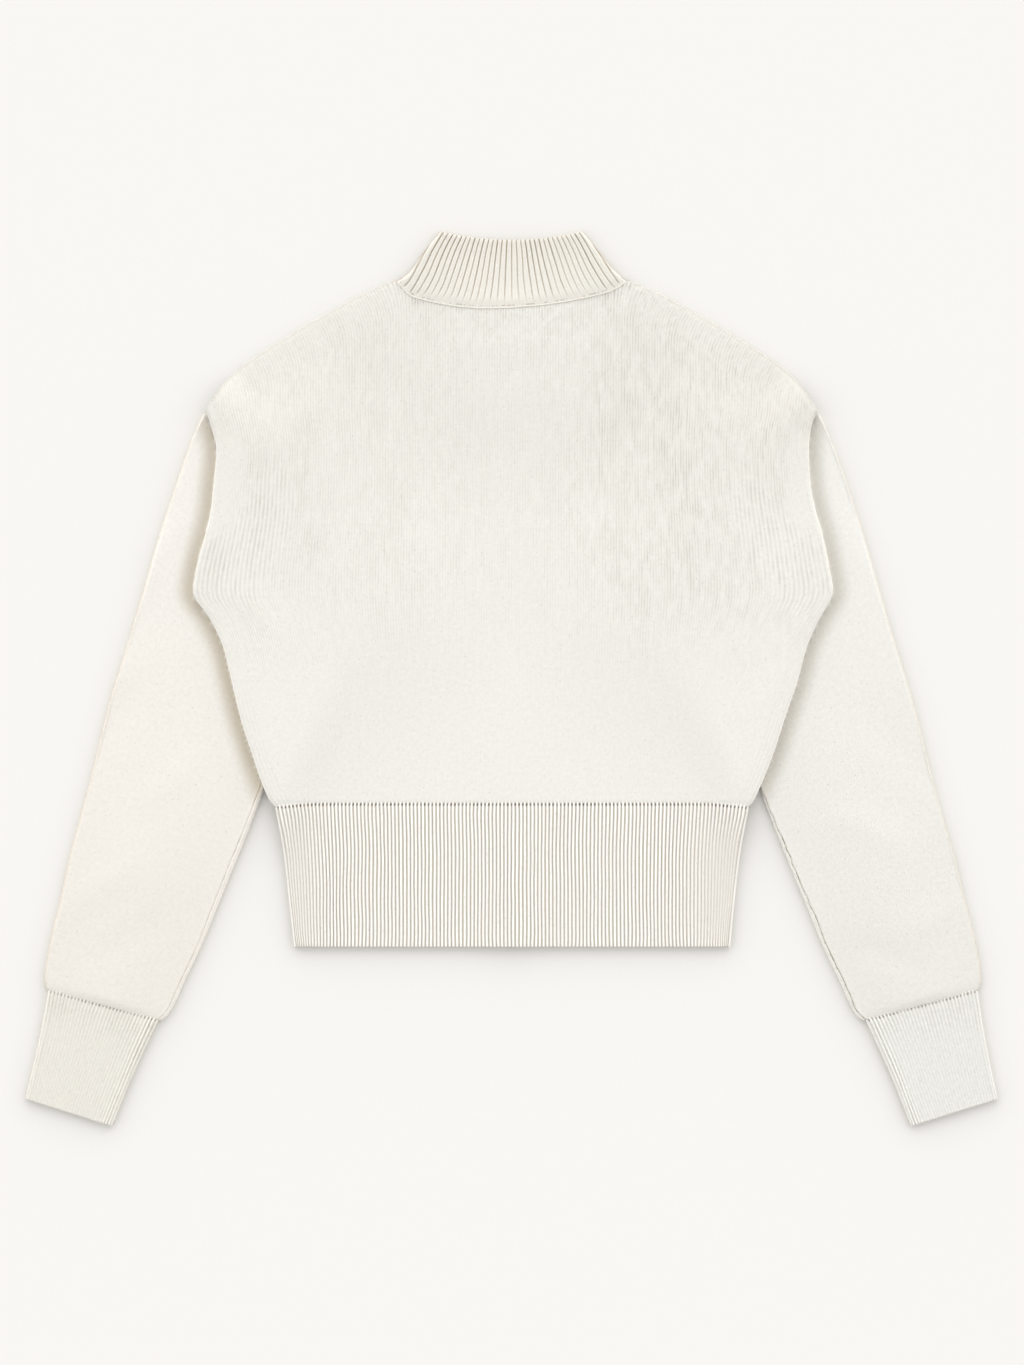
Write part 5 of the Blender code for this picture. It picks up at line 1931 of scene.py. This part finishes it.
    def _link_cuff(self, stitches: StitchRow, outer: Array, inner: Array) -> None:
        """Sews one loop over the cuff's seam at each crest.

        Args:
            stitches: The row of threads.
            outer: The seam's outer end, for the right side.
            inner: Its inner end.
        """
        shares = (np.arange(1, self.cuff_ribs - 1) + 0.5) / self.cuff_ribs
        line = lerp(outer[None, :], inner[None, :], shares[:, None])
        line[:, 0] *= self.side.value
        height = 2 * self.lay.fold + self.cuff_end.crown * (1 - (2 * shares - 1) ** 2) ** 2
        points = np.column_stack([line, height])
        sizes = {"Length": 2.5 * MM, "Thickness": 1.05 * MM, "Rise": 0.2 * MM}
        sizes |= {"Turn": math.pi / 2, "Unevenness": 0.14}
        name = f"cuff_linking_{self.side.word}"
        stitches.sew(name, [level(points)], LINKING_YARN, "knit_rib", sizes, evenly=False, seed=15)


# ---------------------------------------------------------------- zip


@dataclass
class Zip:
    """The closed separating zip between the fronts, underneath.

    Attributes:
        lay: How the layers lie.
        pitch: Distance between two teeth of one side.
        reach: Length of a tooth across the zip.
        tooth_height: Height of a tooth.
        tooth_shift: Distance of each row of teeth from the middle.
        chain_half: Half the width of the closed teeth.
        tape_outer: Distance of the tapes' outer edges from the middle.
        tape_thick: Thickness of a tape.
        bottom_y: The zip's lower end.
        top_y: Its upper end.
        box_length: Length of the box at its foot.
        slider_y: Where the slider's middle is.
        slider_half: Half the slider's length.
        seams: Distance of each row of sewing from the middle.
        seam_top_y: Where the sewing ends.
    """

    lay: Lay
    pitch: float = 2.5 * MM
    reach: float = 2.6 * MM
    tooth_height: float = 1.3 * MM
    tooth_shift: float = 0.9 * MM
    chain_half: float = 2.2 * MM
    tape_outer: float = 14.5 * MM
    tape_thick: float = 0.5 * MM
    bottom_y: float = -0.2120
    top_y: float = 0.2890
    box_length: float = 8.0 * MM
    slider_y: float = 0.2820
    slider_half: float = 4.6 * MM
    seams: tuple[float, ...] = (6.4 * MM, 12.2 * MM)
    seam_top_y: float = 0.236

    @property
    def middle(self) -> float:
        """Height of the zip's middle plane over the body's underside."""
        return self.lay.wall + self.lay.seam + self.tape_thick / 2

    def build(self, stitches: StitchRow) -> None:
        """Builds and dresses every part of the zip."""
        for side in Side:
            self._build_tape(side)
        self._build_teeth()
        self._sew_tapes(stitches)
        self._finish_metal("zip_box", "zip_bottom_box", GARMENT, 0.25 * MM)
        self._finish_metal("zip_slider", "zip_slider_cast", GARMENT, 0.12 * MM)
        self._finish_metal("zip_pull_tab", "zip_pull_tab_plate", PULL_TAB, 0.2 * MM)

    def _build_tape(self, side: Side) -> None:
        """Builds one tape, with a woven cord along the teeth and a soft outer edge."""
        x = spread((self.chain_half + self.lay.seam, 4.2 * MM, 8), (4.2 * MM, self.tape_outer, 16))
        y = np.linspace(self.bottom_y, self.top_y, 120)[:, None]
        floor = self.lay.floor(0 * y, y) + self.middle + 0 * x
        cord = 0.16 * MM * hump(x - 3.2 * MM, 0.5 * MM)
        edge = 0.08 * MM * (1 - ease(0, 0.8 * MM, self.tape_outer - x))
        thick = self.tape_thick / 2 + cord - edge
        across = side.value * x + 0 * y
        faces = [np.stack([across, y + 0 * x, floor + way * thick], axis=-1) for way in (-1, 1)]
        name, node = f"zip_tape_woven_{side.word}", f"zip_tape_{side.word}"
        mesh = Shell(
            outer=faces[0],
            inner=faces[1],
            rows=list(range(len(y))),
            columns=list(range(len(x))),
            knit=np.stack([across, y + 0 * x], axis=-1),
        ).mesh(name)
        lay_cloth(name, mesh, TAPE, "zip_tape", node)

    def _build_teeth(self) -> None:
        """Builds the two rows of teeth, which mesh in the middle."""
        row = ToothRow()
        joined = bmesh.new()
        for side in Side:
            offset = self.pitch / 2 if side is Side.LEFT else 0
            start = self.bottom_y + self.box_length + 1.2 * MM + offset
            y = np.arange(start, self.slider_y - self.slider_half - 0.6 * MM, self.pitch / 2)
            line = np.column_stack([0 * y, y, self.lay.floor(0 * y, y) + self.middle])
            values = {"Pitch": self.pitch, "Reach": self.reach, "Height": self.tooth_height}
            values |= {"Shift": side.value * self.tooth_shift, "Material": NICKEL.material()}
            joined.from_mesh(row.grown("teeth_guide", [line], (), **values))
        teeth = bpy.data.meshes.new("zip_teeth")
        joined.to_mesh(teeth)
        joined.free()
        piece = place("zip_teeth", teeth, NICKEL, "zip_metal")
        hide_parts("zip_chain")

    def _sew_tapes(self, stitches: StitchRow) -> None:
        """Sews two rows of stitches down each front beside the zip."""
        y = np.linspace(self.bottom_y + 2 * MM, self.seam_top_y, 90)
        lines = []
        for side in Side:
            for x in self.seams:
                across = np.full(len(y), side.value * x)
                points = np.column_stack([across, y, self.lay.floor(across, y) + 0.35 * MM])
                lines.append(level(points, way=-1.0))
        sizes = {"Spacing": 3.2 * MM, "Length": 2.5 * MM, "Thickness": 0.4 * MM}
        sizes |= {"Rise": 0.08 * MM, "Turn": 0.0, "Unevenness": 0.05}
        stitches.sew("zip_stitching", lines, SEWING_THREAD, "zip_tape", sizes, seed=3)

    def _finish_metal(self, node: str, name: str, body: str, bevel: float) -> None:
        """Gives a metal part its cast, rounded edges and its plating.

        Args:
            node: The solid that it stands for.
            name: The piece's name.
            body: The body that it rides on.
            bevel: How far its edges are rounded.
        """
        form = bmesh.new()
        form.from_mesh(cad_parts[node].data)
        bmesh.ops.remove_doubles(form, verts=form.verts[:], dist=0.01 * MM)
        flat = math.radians(2)
        bmesh.ops.dissolve_limit(form, angle_limit=flat, verts=form.verts[:], edges=form.edges[:])
        turn = math.radians(40)
        sharp = [edge for edge in form.edges if edge.is_manifold and edge.calc_face_angle() > turn]
        bmesh.ops.bevel(
            form, geom=sharp, offset=bevel, segments=2, profile=0.6, affect="EDGES", clamp_overlap=True
        )
        mesh = bpy.data.meshes.new(name)
        form.to_mesh(mesh)
        form.free()
        mesh.shade_smooth()
        mesh.set_sharp_from_angle(angle=math.radians(50))
        mesh.materials.clear()
        piece = place(name, mesh, NICKEL, "zip_metal", body)
        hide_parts(node)


# ---------------------------------------------------------------- studio


@dataclass
class Studio:
    """A pale floor, soft light from above with a little more from the neck's side, and the camera.

    Attributes:
        pixel: Size of one pixel of the 1024 by 1365 frame at the garment.
        frame_height: The frame's height in pixels.
        centre: Where the frame's middle lies.
        camera_height: Height of the camera over the cloth.
        cloth_height: Height of the cloth over the floor.
        sensor: Height of the camera's sensor, in millimetres.
        floor_half: Half the width of the floor.
        light: Strength of the sky.
    """

    pixel: float = 0.8 * MM
    frame_height: int = 1365
    centre: tuple[float, float] = (0.0004, -0.0024)
    camera_height: float = 4.0
    cloth_height: float = 6 * MM
    sensor: float = 36.0
    floor_half: float = 12.0
    light: float = 1.643

    def build(self) -> None:
        """Builds the floor, the light and the camera."""
        self._build_floor()
        self._build_light()
        self._build_camera()
        bpy.context.scene.view_settings.view_transform = "Standard"

    def _build_floor(self) -> None:
        """Lays the studio paper just under the garment."""
        mesh = bpy.data.meshes.new("floor")
        half, low = self.floor_half, -0.2 * MM
        corners = [(-half, -half, low), (half, -half, low), (half, half, low), (-half, half, low)]
        mesh.from_pydata(corners, [], [(0, 1, 2, 3)])
        mesh.materials.append(FloorFinish().material())
        floor = bpy.data.objects.new("floor", mesh)
        bpy.context.scene.collection.objects.link(floor)

    def _build_light(self) -> None:
        """Sets one wide soft sky, brighter low down and towards the neck's side."""
        world = bpy.data.worlds.new("studio")
        world.use_nodes = True
        tree = world.node_tree
        tree.nodes.clear()
        way = add(tree, "ShaderNodeSeparateXYZ", {0: add(tree, "ShaderNodeTexCoord").outputs["Generated"]})
        low = ranged(tree, way.outputs[2], 0.0, 1.0, 2.0, 0.25)
        ahead = ranged(tree, way.outputs[1], -1.0, 1.0, 0.4, 1.6)
        strength = computed(tree, "MULTIPLY", computed(tree, "MULTIPLY", low, ahead), self.light)
        sky = add(tree, "ShaderNodeBackground", {"Strength": strength})
        add(tree, "ShaderNodeOutputWorld", {"Surface": sky.outputs["Background"]})
        bpy.context.scene.world = world

    def _build_camera(self) -> None:
        """Hangs the camera straight over the garment."""
        seen = self.frame_height * self.pixel
        data = bpy.data.cameras.new("camera")
        data.sensor_width = self.sensor
        data.lens = self.sensor * self.camera_height / seen
        data.clip_end = 50.0
        camera = bpy.data.objects.new("camera", data)
        camera.location = (*self.centre, self.camera_height + self.cloth_height)
        bpy.context.scene.collection.objects.link(camera)
        bpy.context.scene.camera = camera


LEFT_SLEEVE_CREASES = (
    Crease(-0.300, 0.060, -0.262, 0.130, 0.010, 0.0005),
    Crease(-0.335, -0.060, -0.290, 0.000, 0.014, -0.0005),
    Crease(-0.360, -0.190, -0.300, -0.150, 0.012, 0.0005),
    Crease(-0.250, -0.060, -0.300, -0.100, 0.011, 0.0004),
    Crease(-0.280, -0.190, -0.340, -0.225, 0.012, -0.0004),
)
RIGHT_SLEEVE_CREASES = (
    Crease(0.296, 0.070, 0.266, 0.140, 0.011, 0.0004),
    Crease(0.340, -0.080, 0.285, -0.020, 0.015, -0.0005),
    Crease(0.255, -0.110, 0.320, -0.140, 0.013, 0.0005),
    Crease(0.362, -0.175, 0.310, -0.205, 0.012, 0.0004),
    Crease(0.275, -0.215, 0.330, -0.235, 0.010, -0.0004),
)
RIGHT_SEAM = Track((-0.27, -0.24, -0.14, -0.115, -0.085), (0.0022, 0.0028, 0.0026, 0.0016, 0.0001))


def main() -> None:
    """Builds the whole garment and the studio round it."""
    logging.basicConfig(level=logging.INFO, format="%(message)s")
    lay = Lay()
    body = Body(lay)
    stitches = StitchRow()
    Studio().build()
    body.build_back()
    for side in Side:
        body.build_front(side)
    body.build_seams(stitches)
    Waistband(lay).build(stitches)
    Collar(lay, body).build(stitches)
    Sleeve(lay, body, Side.LEFT, creases=LEFT_SLEEVE_CREASES).build(stitches)
    Sleeve(
        lay,
        body,
        Side.RIGHT,
        seam_in=RIGHT_SEAM,
        seam_wave=0.6 * MM,
        seam_dark=0.85,
        armhole_shade=0.5,
        widen_in=-0.5 * MM,
        flare=2.2 * MM,
        knit=COOL_LIGHT_SLEEVE_KNIT,
        rib=COOL_LIGHT_CUFF_RIB,
        creases=RIGHT_SLEEVE_CREASES,
    ).build(stitches)
    Zip(lay).build(stitches)


if __name__ == "__main__":
    main()
